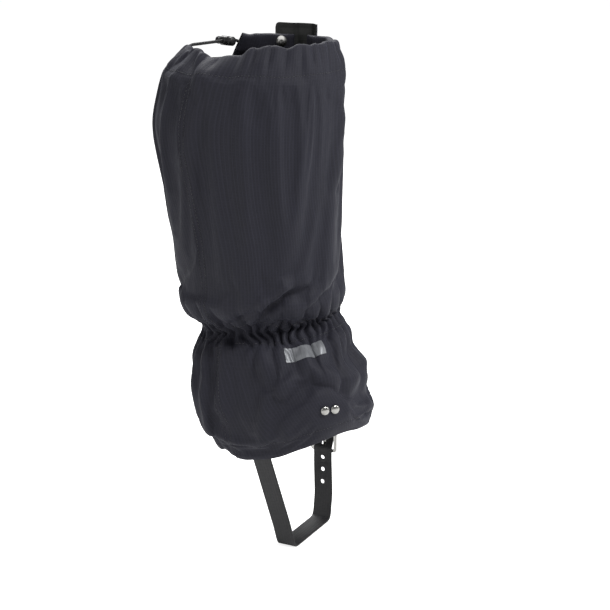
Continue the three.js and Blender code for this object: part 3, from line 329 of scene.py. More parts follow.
def settled_shift(z, theta):
    """The simulated cloth's shift at any height and angle, by bilinear interpolation on its grid."""
    if not SETTLED:
        return 0.0
    rows, shift = SETTLED["z"], SETTLED["shift"]
    first, last = rear_edge(z), front_edge(z)
    u = np.clip((theta - first) / (last - first), 0, 1) * (shift.shape[1] - 1)
    v = np.interp(z, rows, np.arange(len(rows)))
    i, j = np.clip(u.astype(int), 0, shift.shape[1] - 2), np.clip(v.astype(int), 0, shift.shape[0] - 2)
    a, b = (u - i)[..., None], (v - j)[..., None]
    low = shift[j, i] * (1 - a) + shift[j, i + 1] * a
    high = shift[j + 1, i] * (1 - a) + shift[j + 1, i + 1] * a
    return low * (1 - b) + high * b


def cloth_point(z, theta, inset=0.0, share=1.0):
    """The tube's point moved along its normal by its folds less the inset, with the settled cloth's shift."""
    z, theta = np.broadcast_arrays(np.asarray(z, float), np.asarray(theta, float))
    out = share * folds(z, theta, bpy.context.scene.gaiter_cloth.fold_depth) - inset
    p = tube_point(z, theta) + tube_normal(z, theta) * out[..., None] + share * settled_shift(z, theta)
    p[..., 2] -= rim_drop(z, theta) + share * sag(z, theta)
    return p


def rear_edge(z):
    return angle_at(z, ZIP_Y + PANEL_EDGE)


def front_edge(z):
    return TURN + angle_at(z, ZIP_Y - PANEL_EDGE)


# ---- meshes ---------------------------------------------------------------------------------------


def grid_faces(rows, columns, closed=False):
    """Quads between neighbouring points of a grid whose rows run up and columns run round.

    A closed grid also joins its last column to its first.
    """
    j, i = np.meshgrid(np.arange(rows - 1), np.arange(columns - (0 if closed else 1)), indexing="ij")
    k = (i + 1) % columns
    quads = np.stack([j * columns + i, j * columns + k, (j + 1) * columns + k, (j + 1) * columns + i], -1)
    return quads.reshape(-1, 4)


def capped_faces(rows, columns):
    """A closed grid's quads, with a face over each end."""
    ends = [list(range(columns)), list(range((rows - 1) * columns, rows * columns))]
    return grid_faces(rows, columns, True).tolist() + ends


def repeated(faces, count, size):
    """The faces of one shape of so many points, for a row of copies of it."""
    return (faces[None] + np.arange(count)[:, None, None] * size).reshape(-1, faces.shape[1]).tolist()


def shaded_smooth(mesh):
    mesh.polygons.foreach_set("use_smooth", np.ones(len(mesh.polygons), bool))
    return mesh


def new_mesh(points, faces, uv=None):
    """A mesh in metres from points in millimetres, with its own map, also in metres."""
    mesh = bpy.data.meshes.new("mesh")
    places = (np.asarray(points).reshape(-1, 3) * MM).tolist()
    mesh.from_pydata(places, [], [list(map(int, f)) for f in faces])
    if uv is not None:
        loops = np.zeros(len(mesh.loops), np.int32)
        mesh.loops.foreach_get("vertex_index", loops)
        layer = mesh.uv_layers.new(name="cloth")
        layer.data.foreach_set("uv", (np.asarray(uv).reshape(-1, 2)[loops] * MM).astype(np.float32).ravel())
    shaded_smooth(mesh)
    # light on a sheet's face shouldn't bend over its cut edges
    edge = np.zeros(len(mesh.loops), np.int32)
    mesh.loops.foreach_get("edge_index", edge)
    sharp = mesh.attributes.get("sharp_edge") or mesh.attributes.new("sharp_edge", "BOOLEAN", "EDGE")
    sharp.data.foreach_set("value", np.bincount(edge, minlength=len(mesh.edges)) == 1)
    mesh.update()
    return mesh


def placed(name, data):
    """A new object in the scene."""
    thing = bpy.data.objects.new(name, data)
    bpy.context.scene.collection.objects.link(thing)
    return thing


# the two finishes of the cloth pieces, as their first and second material
CLOTH = ("ripstop", "back")  # face and back


def new_piece(name, mesh, looks, node=None, body="gaiter", sharp=None):
    """An object at the origin that rides on a body, takes its finish and slot and stands for a node."""
    piece = placed(name, mesh)
    mesh.name = name
    mesh.materials.clear()
    looks = looks if isinstance(looks, tuple) else (looks,)
    for look in looks:
        mesh.materials.append(finish(look))
    if sharp:
        mesh.set_sharp_from_angle(angle=math.radians(sharp))
    if body:
        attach(piece, body)
    if node:
        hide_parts(node)
    return piece


def sheet_mesh(points, uv):
    return new_mesh(points, grid_faces(*points.shape[:2]), uv)


def thicken(piece, thickness, backed=False):
    """Gives a sheet its thickness inwards from its outer face; backed puts its second material inside."""
    solid = piece.modifiers.new("Thickness", "SOLIDIFY")
    solid.thickness = thickness * MM
    solid.offset = -1
    if backed:
        solid.material_offset = 1
    return piece


def merged(mesh):
    """Welds seams and poles, and turns all faces outwards."""
    work = bmesh.new()
    work.from_mesh(mesh)
    bmesh.ops.remove_doubles(work, verts=work.verts, dist=1e-7)
    bmesh.ops.recalc_face_normals(work, faces=work.faces)
    work.to_mesh(mesh)
    work.free()
    return mesh


def turned_mesh(profile, origin, axis, sides=48):
    """A profile of (radius, height) carried round a line: p = origin + h axis + r (cos u + sin v)."""
    profile = np.asarray(profile, float)
    axis = unit(np.asarray(axis, float))
    u = unit(np.cross(axis, (0, 0, 1) if abs(axis[2]) < 0.9 else (1, 0, 0)))
    v = np.cross(axis, u)
    t = np.linspace(0, TURN, sides, endpoint=False)
    ring = np.cos(t)[:, None] * u + np.sin(t)[:, None] * v
    points = np.asarray(origin, float) + profile[:, 1, None, None] * axis + profile[:, 0, None, None] * ring
    uv = np.stack(np.broadcast_arrays(t * profile[:, 0].max(), profile[:, 1, None]), -1)
    return merged(new_mesh(points, grid_faces(len(profile), sides, True), uv))


def run_length(points):
    """How far along its line each point lies."""
    return np.r_[0, np.cumsum(np.linalg.norm(np.diff(points, axis=0), axis=1))]


def upright(x, y, low, high, count):
    """A line straight up with so many points."""
    return np.stack([np.full(count, x), np.full(count, y), np.linspace(low, high, count)], -1)


def points_at(points, at, want):
    """A line's points at the wanted distances, where at holds the distances of its own points."""
    return np.stack([np.interp(want, at, points[:, k]) for k in range(3)], -1)


def spaced(points, step):
    """The same line with points an even step apart."""
    points = np.asarray(points, float)
    at = run_length(points)
    return points_at(points, at, np.linspace(0, at[-1], max(2, int(round(at[-1] / step)) + 1)))


def softened(points, radius, step=0.8):
    """A line with rounded corners: even points, each the bell-weighted mean of its neighbours, ends held."""
    line = spaced(points, step)
    reach = int(math.ceil(2.5 * radius / step))
    bell = np.exp(-((np.arange(-reach, reach + 1) * step / radius) ** 2))
    bell /= bell.sum()
    first = 2 * line[0] - line[reach:0:-1]
    last = 2 * line[-1] - line[-2 : -reach - 2 : -1]
    padded = np.concatenate([first, line, last])
    return np.stack([np.convolve(padded[:, k], bell, "valid") for k in range(3)], -1)


def stadium(width, thickness, corner=6, flats=8):
    """A flat strip's section: two half circles joined by straight sides."""
    r = thickness / 2
    half = width / 2 - r
    a = np.linspace(-math.pi / 2, math.pi / 2, corner + 1)
    right = np.stack([half + r * np.cos(a), r * np.sin(a)], -1)
    top = np.stack([np.linspace(half, -half, flats + 1)[1:-1], np.full(flats - 1, r)], -1)
    return np.concatenate([right, top, -right, -top])


def swept_mesh(line, section, wide=(0, 1, 0)):
    """A closed section carried along a line and capped, p = line + a width + b thickness.

    The width is held near the way given.
    """
    along = unit(np.gradient(line, axis=0))
    wide = np.broadcast_to(np.asarray(wide, float), line.shape)
    wide = unit(wide - (wide * along).sum(1, keepdims=True) * along)
    thick = np.cross(along, wide)
    points = line[:, None] + section[:, 0, None] * wide[:, None] + section[:, 1, None] * thick[:, None]
    uv = np.stack(np.broadcast_arrays(section[:, 0][None], run_length(line)[:, None]), -1)
    return merged(new_mesh(points, capped_faces(len(line), len(section)), uv))


def braid_mesh(line, diameter):
    """A round cord whose radius swells where two families of strands cross: r (1 + k |cos| of each helix)."""
    along = unit(np.gradient(line, axis=0))
    side = unit(np.cross(along, (0, 0, 1)))
    up = np.cross(side, along)
    run = run_length(line)
    a = np.linspace(0, TURN, 32, endpoint=False)
    turn_length, strands, relief = 9.0, 4, 0.09
    helix = run[:, None] * TURN / turn_length
    weave = np.maximum(np.abs(np.cos(strands * (a + helix))), np.abs(np.cos(strands * (a - helix))))
    r = diameter / 2 * (1 - relief + relief * weave)
    r[[0, -1]] *= 0.02
    ring = np.cos(a)[:, None] * side[:, None] + np.sin(a)[:, None] * up[:, None]
    uv = np.stack(np.broadcast_arrays(a * diameter / 2, run[:, None]), -1)
    return merged(new_mesh(line[:, None] + r[..., None] * ring, capped_faces(len(line), len(a)), uv))


def applied(piece):
    """The piece with its modifiers made part of its mesh."""
    bpy.context.view_layer.update()
    made = bpy.data.meshes.new_from_object(piece.evaluated_get(bpy.context.evaluated_depsgraph_get()))
    piece.modifiers.clear()
    piece.data = made
    return piece


def pierced(mesh, cutters):
    """A mesh with holes cut by other meshes."""
    work = placed("work", mesh)
    tools = [placed("tool", cutter) for cutter in cutters]
    for tool in tools:
        hole = work.modifiers.new("Hole", "BOOLEAN")
        hole.operation, hole.solver, hole.object = "DIFFERENCE", "EXACT", tool
    made = applied(work).data
    for o in (work, *tools):
        bpy.data.objects.remove(o)
    return shaded_smooth(made)


def rod_mesh(start, end, radius, sides=24):
    start, end = np.asarray(start, float), np.asarray(end, float)
    length = np.linalg.norm(end - start)
    return turned_mesh([(0, 0), (radius, 0), (radius, length), (0, length)], start, end - start, sides)


def block_mesh(low, high):
    low, high = np.asarray(low, float), np.asarray(high, float)
    corners = np.array([[i, j, k] for k in (0, 1) for j in (0, 1) for i in (0, 1)])
    faces = [(0, 2, 3, 1), (4, 5, 7, 6), (0, 1, 5, 4), (2, 6, 7, 3), (0, 4, 6, 2), (1, 3, 7, 5)]
    return new_mesh(low + corners * (high - low), faces)


def rounded_piece(name, node, look, width, segments=3, body="gaiter"):
    """A node's own mesh, welded and its flat faces joined, with rounded edges."""
    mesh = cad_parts[node].data.copy()
    work = bmesh.new()
    work.from_mesh(mesh)
    bmesh.ops.remove_doubles(work, verts=work.verts, dist=1e-6)
    bmesh.ops.dissolve_limit(work, angle_limit=math.radians(1), verts=work.verts, edges=work.edges)
    work.to_mesh(mesh)
    work.free()
    piece = new_piece(name, shaded_smooth(mesh), look, node, body)
    edge = piece.modifiers.new("Rounded edges", "BEVEL")
    edge.width, edge.segments, edge.limit_method = width * MM, segments, "ANGLE"
    edge.angle_limit = math.radians(30)
    return piece


def stitch_mesh(rows, length=2.5, pitch=3.3, radius=0.3):
    """Thread along rows of (points, normals): slim closed barrels whose ends dive into the cloth."""
    centres, ways, outs = [], [], []
    for points, normals in rows:
        at = run_length(points)
        want = np.arange(pitch / 2, at[-1], pitch)
        centres.append(points_at(points, at, want))
        ways.append(unit(points_at(points, at, want + 0.5) - points_at(points, at, want - 0.5)))
        outs.append(unit(points_at(normals, at, want)))
    p, w, n = (np.concatenate(x)[:, None, None] for x in (centres, ways, outs))
    side = np.cross(w, n)
    t = np.array([-1, -0.62, 0, 0.62, 1])[:, None, None]
    thin = np.array([0.3, 0.9, 1, 0.9, 0.3])[:, None, None]
    high = np.array([-0.3, 0.1, 0.2, 0.1, -0.3])[:, None, None]
    rings, sides = len(t), 6
    a = np.linspace(0, TURN, sides, endpoint=False)[None, :, None]
    out = high + radius * thin * np.sin(a)
    points = p + w * t * length / 2 + n * out + side * radius * thin * np.cos(a)
    count, size = len(points), rings * sides
    faces = repeated(grid_faces(rings, sides, True), count, size)
    faces += repeated(np.arange(sides)[::-1][None], count, size)
    faces += repeated(size - sides + np.arange(sides)[None], count, size)
    uv = np.stack(np.broadcast_arrays((a * radius)[..., 0], (t * length / 2)[..., 0]), -1)
    return new_mesh(points, faces, np.broadcast_to(uv, (count, rings, sides, 2)))


def cloth_row(z, start, end, inset=0.0, count=900):
    """Points and normals along the cloth at one height, between two angles."""
    theta = np.linspace(start, end, count)
    z = np.full(count, float(z))
    return cloth_point(z, theta, inset), tube_normal(z, theta)


# ---- materials ------------------------------------------------------------------------------------


def linear(code):
    """A six-digit sRGB hex colour as linear red, green and blue."""
    srgb = np.array([int(code[i : i + 2], 16) for i in (1, 3, 5)]) / 255
    return tuple(float(c) for c in np.where(srgb <= 0.04045, srgb / 12.92, ((srgb + 0.055) / 1.055) ** 2.4))


def add_node(tree, kind, settings):
    """Adds a node; settings go to its inputs by name or number, or else to its own properties.

    A socket or a node among them is linked, and anything else is set.
    """
    node = tree.nodes.new("ShaderNode" + kind)
    for key, value in settings.items():
        if isinstance(value, bpy.types.Node):
            value = value.outputs[0]
        if isinstance(value, bpy.types.NodeSocket):
            tree.links.new(value, node.inputs[key])
        elif isinstance(key, int) or key in node.inputs:
            node.inputs[key].default_value = value
        else:
            setattr(node, key, value)
    return node


def new_material(name):
    """A material's nodes, its piece's own map whole, as u and as v, in metres, and object coordinates."""
    material = bpy.data.materials.new(name)
    material.use_nodes = True
    tree = material.node_tree
    tree.nodes.clear()
    place = add_node(tree, "TexCoord", {})
    parts = add_node(tree, "SeparateXYZ", {0: place.outputs["UV"]})
    return material, tree, place.outputs["UV"], parts.outputs[0], parts.outputs[1], place.outputs["Object"]


def surfaced(material, settings):
    """The material with its shader, whose steady values are set on the shader's own sockets."""
    shader = add_node(material.node_tree, "BsdfPrincipled", settings)
    add_node(material.node_tree, "OutputMaterial", {"Surface": shader})
    return material


def weighted(tree, *terms, clamp=False):
    """The sum of sockets, each with its weight, and of plain terms."""
    total = None
    for i, term in enumerate(terms):
        if isinstance(term, tuple):
            term = add_node(tree, "Math", {"operation": "MULTIPLY", 0: term[0], 1: term[1]})
        if i:
            last = clamp and i == len(terms) - 1
            term = add_node(tree, "Math", {"operation": "ADD", "use_clamp": last, 0: total, 1: term})
        total = term
    return total


def tinted(tree, factor, colour, low, high):
    """The colour from a lower to a higher share of itself."""
    dark, light = ((*(min(c * share, 1) for c in colour), 1) for share in (low, high))
    return add_node(tree, "Mix", {"data_type": "RGBA", 0: factor, 6: dark, 7: light}).outputs[2]


def threads(tree, coordinate, spacing, thickness):
    """1 on lines that repeat each spacing, in metres, and 0 between them."""
    away = add_node(tree, "Math", {"operation": "PINGPONG", 0: coordinate, 1: spacing / 2})
    share = add_node(tree, "Math", {"operation": "DIVIDE", "use_clamp": True, 0: away, 1: thickness})
    return add_node(tree, "Math", {"operation": "SUBTRACT", "use_clamp": True, 0: 1, 1: share})


def ripstop_nylon(colour):
    """Woven ripstop nylon: a plain weave with a grid of thicker threads, a dull sheen, a cloudy and streaky
    tone.
    """
    material, tree, uv, u, v, place = new_material("ripstop nylon, woven")
    grid = bpy.context.scene.gaiter_cloth.ripstop_spacing
    upright, level = threads(tree, u, grid, grid * 0.24), threads(tree, v, grid, grid * 0.2)
    lines = add_node(tree, "Math", {"operation": "MAXIMUM", 0: upright, 1: weighted(tree, (level, 0.5))})
    # the plain weave's threads are about 0.3 mm apart, drawn at 1.3 mm so that they show
    warp, weft = threads(tree, u, 0.0013, 0.0005), threads(tree, v, 0.0013, 0.0005)
    weave = add_node(tree, "Math", {"operation": "MAXIMUM", 0: warp, 1: weighted(tree, (weft, 0.7))})
    cloudy = add_node(tree, "TexNoise", {"Vector": place, "Scale": 14, "Detail": 4})
    streaks = add_node(tree, "Mapping", {"Vector": uv, "Scale": (900, 7, 1)})
    slub = add_node(tree, "TexNoise", {"Vector": streaks, "Scale": 1, "Detail": 2})
    tone = weighted(tree, (cloudy, 0.35), (slub, 0.5), (lines, 0.34), clamp=True)
    crumple = add_node(tree, "TexNoise", {"Vector": place, "Scale": 160, "Detail": 3})
    soft = add_node(tree, "Bump", {"Height": crumple, "Distance": 0.0006, "Strength": 0.25})
    woven = {"Height": weighted(tree, (lines, 0.6), (weave, 0.3)), "Distance": 0.00022, "Strength": 0.7}
    return surfaced(material, {
        "Base Color": tinted(tree, tone, colour, 0.5, 1.7), "IOR": 1.53, "Specular IOR Level": 0.2,
        "Roughness": weighted(tree, (cloudy, 0.16), 0.62),
                               "Normal": add_node(tree, "Bump", {**woven, "Normal": soft}),
        "Sheen Weight": 0.05, "Sheen Roughness": 0.45, "Sheen Tint": (0.6, 0.62, 0.75, 1),
    })


def coated_back(colour):
    """The cloth's polyurethane-coated back: darker and smoother, with a faint grid showing through."""
    material, tree, _, u, v, place = new_material("polyurethane-coated back of nylon")
    grid = {0: threads(tree, u, 0.005, 0.0006), 1: threads(tree, v, 0.005, 0.0006)}
    lines = add_node(tree, "Math", {"operation": "MAXIMUM", **grid})
    cloudy = add_node(tree, "TexNoise", {"Vector": place, "Scale": 30, "Detail": 4})
    height = weighted(tree, lines, cloudy)
    return surfaced(material, {
        "Base Color": tinted(tree, weighted(tree, cloudy, (lines, 0.3), clamp=True), colour, 0.6, 1.5),
        "IOR": 1.5, "Specular IOR Level": 0.35, "Roughness": weighted(tree, (cloudy, 0.25), 0.38),
        "Normal": add_node(tree, "Bump", {"Height": height, "Distance": 0.00012, "Strength": 0.5}),
    })


def woven_tape(name, colour, rib):
    """Polyester tape or elastic: close ribs of about a millimetre along it, and a dry surface."""
    material, tree, _, u, v, place = new_material(name)
    height = weighted(tree, threads(tree, v, rib, rib * 0.45), (threads(tree, u, rib * 0.8, rib * 0.4), 0.5))
    cloudy = add_node(tree, "TexNoise", {"Vector": place, "Scale": 60, "Detail": 3})
    return surfaced(material, {
        "Base Color": tinted(tree, weighted(tree, (height, 0.35), (cloudy, 0.5), clamp=True), colour, 0.5,
                             1.6),
        "Roughness": 0.85, "IOR": 1.5, "Specular IOR Level": 0.25, "Sheen Weight": 0.15,
                               "Sheen Roughness": 0.5,
        "Normal": add_node(tree, "Bump", {"Height": height, "Distance": rib * 0.3, "Strength": 0.8}),
    })


def fastener_pile(name, colour, grain):
    """Hook-and-loop tape: a dense pile of fine loops or stiff hooks, dull and broken up."""
    material, tree, *_, place = new_material(name)
    tufts = add_node(tree, "TexVoronoi", {"Vector": place, "Scale": grain})
    tone = add_node(tree, "Math", {"operation": "SUBTRACT", "use_clamp": True, 0: 1,
                                   1: weighted(tree, (tufts, 1.2))})
    return surfaced(material, {
        "Base Color": tinted(tree, tone, colour, 0.35, 1.5),
        "Roughness": 0.95, "IOR": 1.5, "Specular IOR Level": 0.2, "Sheen Weight": 0.3, "Sheen Roughness": 0.6,
        "Normal": add_node(tree, "Bump", {"Height": tone, "Distance": 0.0006}),
    })


def coated_webbing(colour):
    """Nylon webbing dipped in rubber: smooth, with the weave's ribs under the coat and scuffs along it."""
    material, tree, uv, u, v, place = new_material("rubber-coated webbing")
    ribs, edges = threads(tree, v, 0.0016, 0.0007), threads(tree, u, 0.0028, 0.0009)
    stretched = add_node(tree, "Mapping", {"Vector": uv, "Scale": (260, 22, 1)})
    scuffs = add_node(tree, "TexNoise", {"Vector": stretched, "Scale": 1, "Detail": 5, "Roughness": 0.65})
    skin = add_node(tree, "TexNoise", {"Vector": place, "Scale": 420, "Detail": 2})
    soft = add_node(tree, "Bump", {"Height": skin, "Distance": 0.0001, "Strength": 0.4})
    woven = {"Height": weighted(tree, ribs, (edges, 0.6)), "Distance": 0.00016, "Strength": 0.6}
    return surfaced(material, {
        "Base Color": tinted(tree, weighted(tree, (scuffs, 0.8), (ribs, 0.15), clamp=True), colour, 0.6, 1.5),
        "IOR": 1.52, "Specular IOR Level": 0.4, "Roughness": weighted(tree, (scuffs, 0.3), 0.38),
        "Normal": add_node(tree, "Bump", {**woven, "Normal": soft}),
    })


def nickel_plate(colour):
    """Nickel-plated brass and steel: bright and slightly warm, finely scratched, duller in patches."""
    material, tree, *_, place = new_material("nickel plate, polished")
    fine = add_node(tree, "Mapping", {"Vector": place, "Scale": (900, 900, 4200),
                                      "Rotation": (0.3, 0.5, 0.1)})
    scratches = add_node(tree, "TexNoise", {"Vector": fine, "Scale": 1, "Detail": 3, "Roughness": 0.6})
    patches = add_node(tree, "TexNoise", {"Vector": place, "Scale": 220, "Detail": 3})
    return surfaced(material, {
        "Base Color": tinted(tree, patches, colour, 0.78, 1.12), "Metallic": 1.0,
        "Roughness": weighted(tree, (patches, 0.16), (scratches, 0.14), 0.06),
        "Normal": add_node(tree, "Bump", {"Height": scratches, "Distance": 0.00002, "Strength": 0.5}),
    })


def moulded_acetal(colour):
    """Moulded acetal: black, a satin skin with a fine spark-eroded grain."""
    material, tree, *_, place = new_material("acetal, moulded")
    grain = add_node(tree, "TexNoise", {"Vector": place, "Scale": 2600, "Detail": 2})
    handled = add_node(tree, "TexNoise", {"Vector": place, "Scale": 180, "Detail": 4})
    return surfaced(material, {
        "Base Color": tinted(tree, handled, colour, 0.7, 1.4), "IOR": 1.48, "Specular IOR Level": 0.5,
        "Roughness": weighted(tree, (handled, 0.25), 0.3),
        "Normal": add_node(tree, "Bump", {"Height": grain, "Distance": 0.00003, "Strength": 0.6}),
    })


def braided_polyester(name, colour, pitch):
    """Braided or twisted polyester: fine strands laid at a slant, dry with a slight lustre."""
    material, tree, _, u, v, _ = new_material(name)
    strands = threads(tree, weighted(tree, (u, 2.0), v), pitch, pitch * 0.5)
    return surfaced(material, {
        "Base Color": tinted(tree, strands, colour, 0.45, 1.7),
        "Roughness": 0.7, "IOR": 1.55, "Specular IOR Level": 0.35, "Sheen Weight": 0.2,
                               "Sheen Roughness": 0.4,
        "Normal": add_node(tree, "Bump", {"Height": strands, "Distance": pitch * 0.3, "Strength": 0.9}),
    })


def reflective_film(colour):
    """Glass-bead reflective film, heat-bonded: grey, finely sparkling, rubbed in patches, faintly cracked."""
    material, tree, _, u, _, place = new_material("glass-bead reflective film")
    beads = add_node(tree, "TexVoronoi", {"Vector": place, "Scale": 2400})
    rubbed = add_node(tree, "TexNoise", {"Vector": place, "Scale": 90, "Detail": 5})
    cracks = threads(tree, u, 0.005, 0.0005)
    tone = weighted(tree, (rubbed, 0.7), 0.3, (cracks, -0.35), clamp=True)
    return surfaced(material, {
        "Base Color": tinted(tree, tone, colour, 0.45, 1.25),
        "Roughness": 0.42, "Metallic": 0.25, "IOR": 1.5, "Specular IOR Level": 0.6,
        "Normal": add_node(tree, "Bump", {"Height": beads, "Distance": 0.00006, "Strength": 0.7}),
    })


def studio_paper(colour):
    """A matt paper sweep, barely mottled, which glows for the camera alone, as overexposed paper looks."""
    material, tree, *_, place = new_material("studio paper, matt")
    mottle = add_node(tree, "TexNoise", {"Vector": place, "Scale": 3, "Detail": 2})
    seen = add_node(tree, "LightPath", {}).outputs["Is Camera Ray"]
    return surfaced(material, {
        "Base Color": tinted(tree, mottle, colour, 0.985, 1), "Roughness": 0.95, "Specular IOR Level": 0.1,
        "Emission Color": (1, 1, 1, 1), "Emission Strength": weighted(tree, (seen, 0.75)),
    })


FINISHES = {}


def finish(name):
    """Each finish is made once, from the colours in the panel."""
    if name not in FINISHES:
        cloth, trim = bpy.context.scene.gaiter_cloth, bpy.context.scene.gaiter_trim
        make, colour, *rest = {
            "ripstop": (ripstop_nylon, cloth.outer_colour),
            "back": (coated_back, cloth.back_colour),
            "tape": (woven_tape, cloth.tape_colour, "polyester tape, woven", 0.0011),
            "elastic": (woven_tape, cloth.tape_colour, "elastic, knitted over rubber", 0.0018),
            "loops": (fastener_pile, cloth.tape_colour, "loop tape, brushed nylon", 900),
            "hooks": (fastener_pile, cloth.tape_colour, "hook tape, cut nylon", 620),
            "strap": (coated_webbing, trim.strap_colour),
            "nickel": (nickel_plate, trim.metal_colour),
            "acetal": (moulded_acetal, trim.plastic_colour),
            "cord": (braided_polyester, trim.cord_colour, "polyester cord, braided", 0.0007),
            "thread": (braided_polyester, trim.thread_colour, "polyester thread, twisted", 0.0005),
            "film": (reflective_film, trim.film_colour),
        }[name]
        FINISHES[name] = make(rest[0], tuple(colour), rest[1]) if rest else make(tuple(colour))
    return FINISHES[name]


# ---- settings -------------------------------------------------------------------------------------


def colour_setting(name, description, code):
    return FloatVectorProperty(name=name, description=description, subtype="COLOR", size=3, min=0, max=1,
                               default=linear(code))


class ClothSettings(bpy.types.PropertyGroup):
    outer_colour: colour_setting("Outer cloth", "Colour of the ripstop's face", "#1d1d25")
    back_colour: colour_setting("Coated back", "Colour of the cloth's inner face", "#171817")
    tape_colour: colour_setting("Tapes", "Colour of the tapes, bindings and elastic", "#161618")
    ripstop_spacing: FloatProperty(name="Ripstop spacing", description="Distance between the thick threads",
                                   default=0.0027, min=0.001, max=0.02, unit="LENGTH")
    fold_depth: FloatProperty(name="Fold depth", description="How deep the folds are, as a share of the usual",
                              default=1.0, min=0.0, max=1.5, subtype="FACTOR")
    settle_frames: IntProperty(name="Settling frames", description="Frames for which the cloth settles",
                               default=24, min=0, max=80)


class TrimSettings(bpy.types.PropertyGroup):
    strap_colour: colour_setting("Strap", "Colour of the underfoot strap", "#19191b")
    metal_colour: colour_setting("Metal", "Colour of the nickel plate", "#a9a8a5")
    plastic_colour: colour_setting("Plastic", "Colour of the zip's teeth and the cord lock", "#101012")
    cord_colour: colour_setting("Cord", "Colour of the drawcord", "#131315")
    thread_colour: colour_setting("Thread", "Colour of the stitching", "#202026")
    film_colour: colour_setting("Reflective film", "Colour of the strip on the skirt", "#6f7175")
    cord_diameter: FloatProperty(name="Cord diameter", description="Thickness of the drawcord",
                                 default=0.003, min=0.002, max=0.004, unit="LENGTH")


class StageSettings(bpy.types.PropertyGroup):
    backdrop_colour: colour_setting("Backdrop", "Colour of the floor and the surroundings", "#f2f2f2")
    lens: FloatProperty(name="Lens", description="The camera's focal length in millimetres", default=93.84,
                        min=20, max=300)
    key_power: FloatProperty(name="Key light", description="Power of the main light in watts", default=70.0,
                             min=0, max=500)


# ---- pieces ---------------------------------------------------------------------------------------

CORD_Z = RIM_Z - 8
LOCK_AT = np.array([29.0, 60.0, CORD_Z + 2])
STRAND = np.array([-0.973, 0.231, 0.0])
LOCK_AXIS = np.array([0.231, 0.973, 0.0])  # from the cord towards the button
FLOOR_Z = -0.6
LIT = Vector((0, 0, 0.28))  # where the lights point, in metres


def on_strand(distance):
    return LOCK_AT + distance * STRAND


def in_tunnel(theta):
    """The cord's place in the hem: halfway through its depth, following the rim's dips."""
    theta = np.atleast_1d(np.asarray(theta, float))
    z = np.full(theta.shape, CORD_Z)
    p = tube_point(z, theta) - tube_normal(z, theta) * (TUNNEL_T / 2)
    p[:, 2] -= rim_drop(z, theta)
    return p


class GAITER_OT_stage(bpy.types.Operator):
    """Sets up the camera, the pale floor and the soft studio lights"""

    bl_idname = "gaiter.stage"
    bl_label = "Stage"

    def execute(self, context):
        scene = context.scene
        stage = scene.gaiter_stage
        camera = placed("camera", bpy.data.cameras.new("camera"))
        camera.data.sensor_width, camera.data.lens = 36, stage.lens
        camera.data.clip_start, camera.data.clip_end = 0.05, 60
        camera.location = (-1.2934, -0.6995, 0.650)
        pitch = math.radians(16)
        look = Vector((0.891 * math.cos(pitch), 0.454 * math.cos(pitch), -math.sin(pitch)))
        camera.rotation_euler = look.to_track_quat("-Z", "Y").to_euler()
        scene.camera = camera

        reach, steps = 30000.0, 24
        spread = np.linspace(-reach, reach, steps)
        x, y = np.meshgrid(spread, spread)
        floor = sheet_mesh(np.stack([x, y, np.full_like(x, FLOOR_Z)], -1), np.stack([x, y], -1))
        floor.materials.append(studio_paper(tuple(stage.backdrop_colour)))
        placed("floor", floor)

        scene.view_settings.view_transform = "Standard"
        world = bpy.data.worlds.new("studio")
        world.use_nodes = True
        sky = world.node_tree.nodes["Background"]
        sky.inputs[0].default_value = (*stage.backdrop_colour, 1)
        # dim as a light, so that folds keep their shade, and pale as a backdrop
        seen = add_node(world.node_tree, "LightPath", {}).outputs["Is Camera Ray"]
        strength = weighted(world.node_tree, (seen, 0.85), 0.3)
        world.node_tree.links.new(strength.outputs[0], sky.inputs[1])
        scene.world = world
        lamps = (
            ("key light", (-0.4, -1.7, 2.4), 0.8, stage.key_power),
            ("fill light", (-1.7, 1.0, 0.9), 1.6, stage.key_power * 0.16),
            ("rim light", (0.9, 0.7, 1.7), 1.0, stage.key_power * 0.5),
            ("front light", (0.9, -1.9, 1.1), 1.2, stage.key_power * 0.2),
        )
        for name, place, size, power in lamps:
            lamp = bpy.data.lights.new(name, "AREA")
            lamp.shape, lamp.size, lamp.energy = "DISK", size, power
            light = placed(name, lamp)
            light.location = place
            light.rotation_euler = (LIT - Vector(place)).to_track_quat("-Z", "Y").to_euler()
        return {"FINISHED"}


class GAITER_OT_drawcord(bpy.types.Operator):
    """Makes the drawcord: the free strand over the calf and the runs inside the rim's hem"""

    bl_idname = "gaiter.drawcord"
    bl_label = "Drawcord"

    def execute(self, context):
        thick = context.scene.gaiter_trim.cord_diameter / MM
        mouth = in_tunnel([SHORT_TUNNEL_END, LONG_TUNNEL_END])
        route = [mouth[0], (43.7, 55.5, CORD_Z + 0.8), on_strand(-10), on_strand(-6), on_strand(0),
                 on_strand(12),
                 on_strand(24), on_strand(36), on_strand(44), (-19.2, 71.1, CORD_Z + 0.8), mouth[1]]
        line = softened(route, 1.6, 0.5)
        strand = new_piece("drawcord_strand", braid_mesh(line, thick), "cord", "drawcord")
        first = float(angle_at(np.array(RIM_Z), 20.0))
        for name, start, end in (
            ("drawcord_in_short_hem", first, SHORT_TUNNEL_END - 0.01),
            ("drawcord_in_long_hem", LONG_TUNNEL_END + 0.01, float(front_edge(np.array(RIM_Z))) - 0.2),
        ):
            run = softened(in_tunnel(np.linspace(start, end, 160)), 1.2, 1.0)
            new_piece(name, braid_mesh(run, thick), "cord")
        return {"FINISHED"}


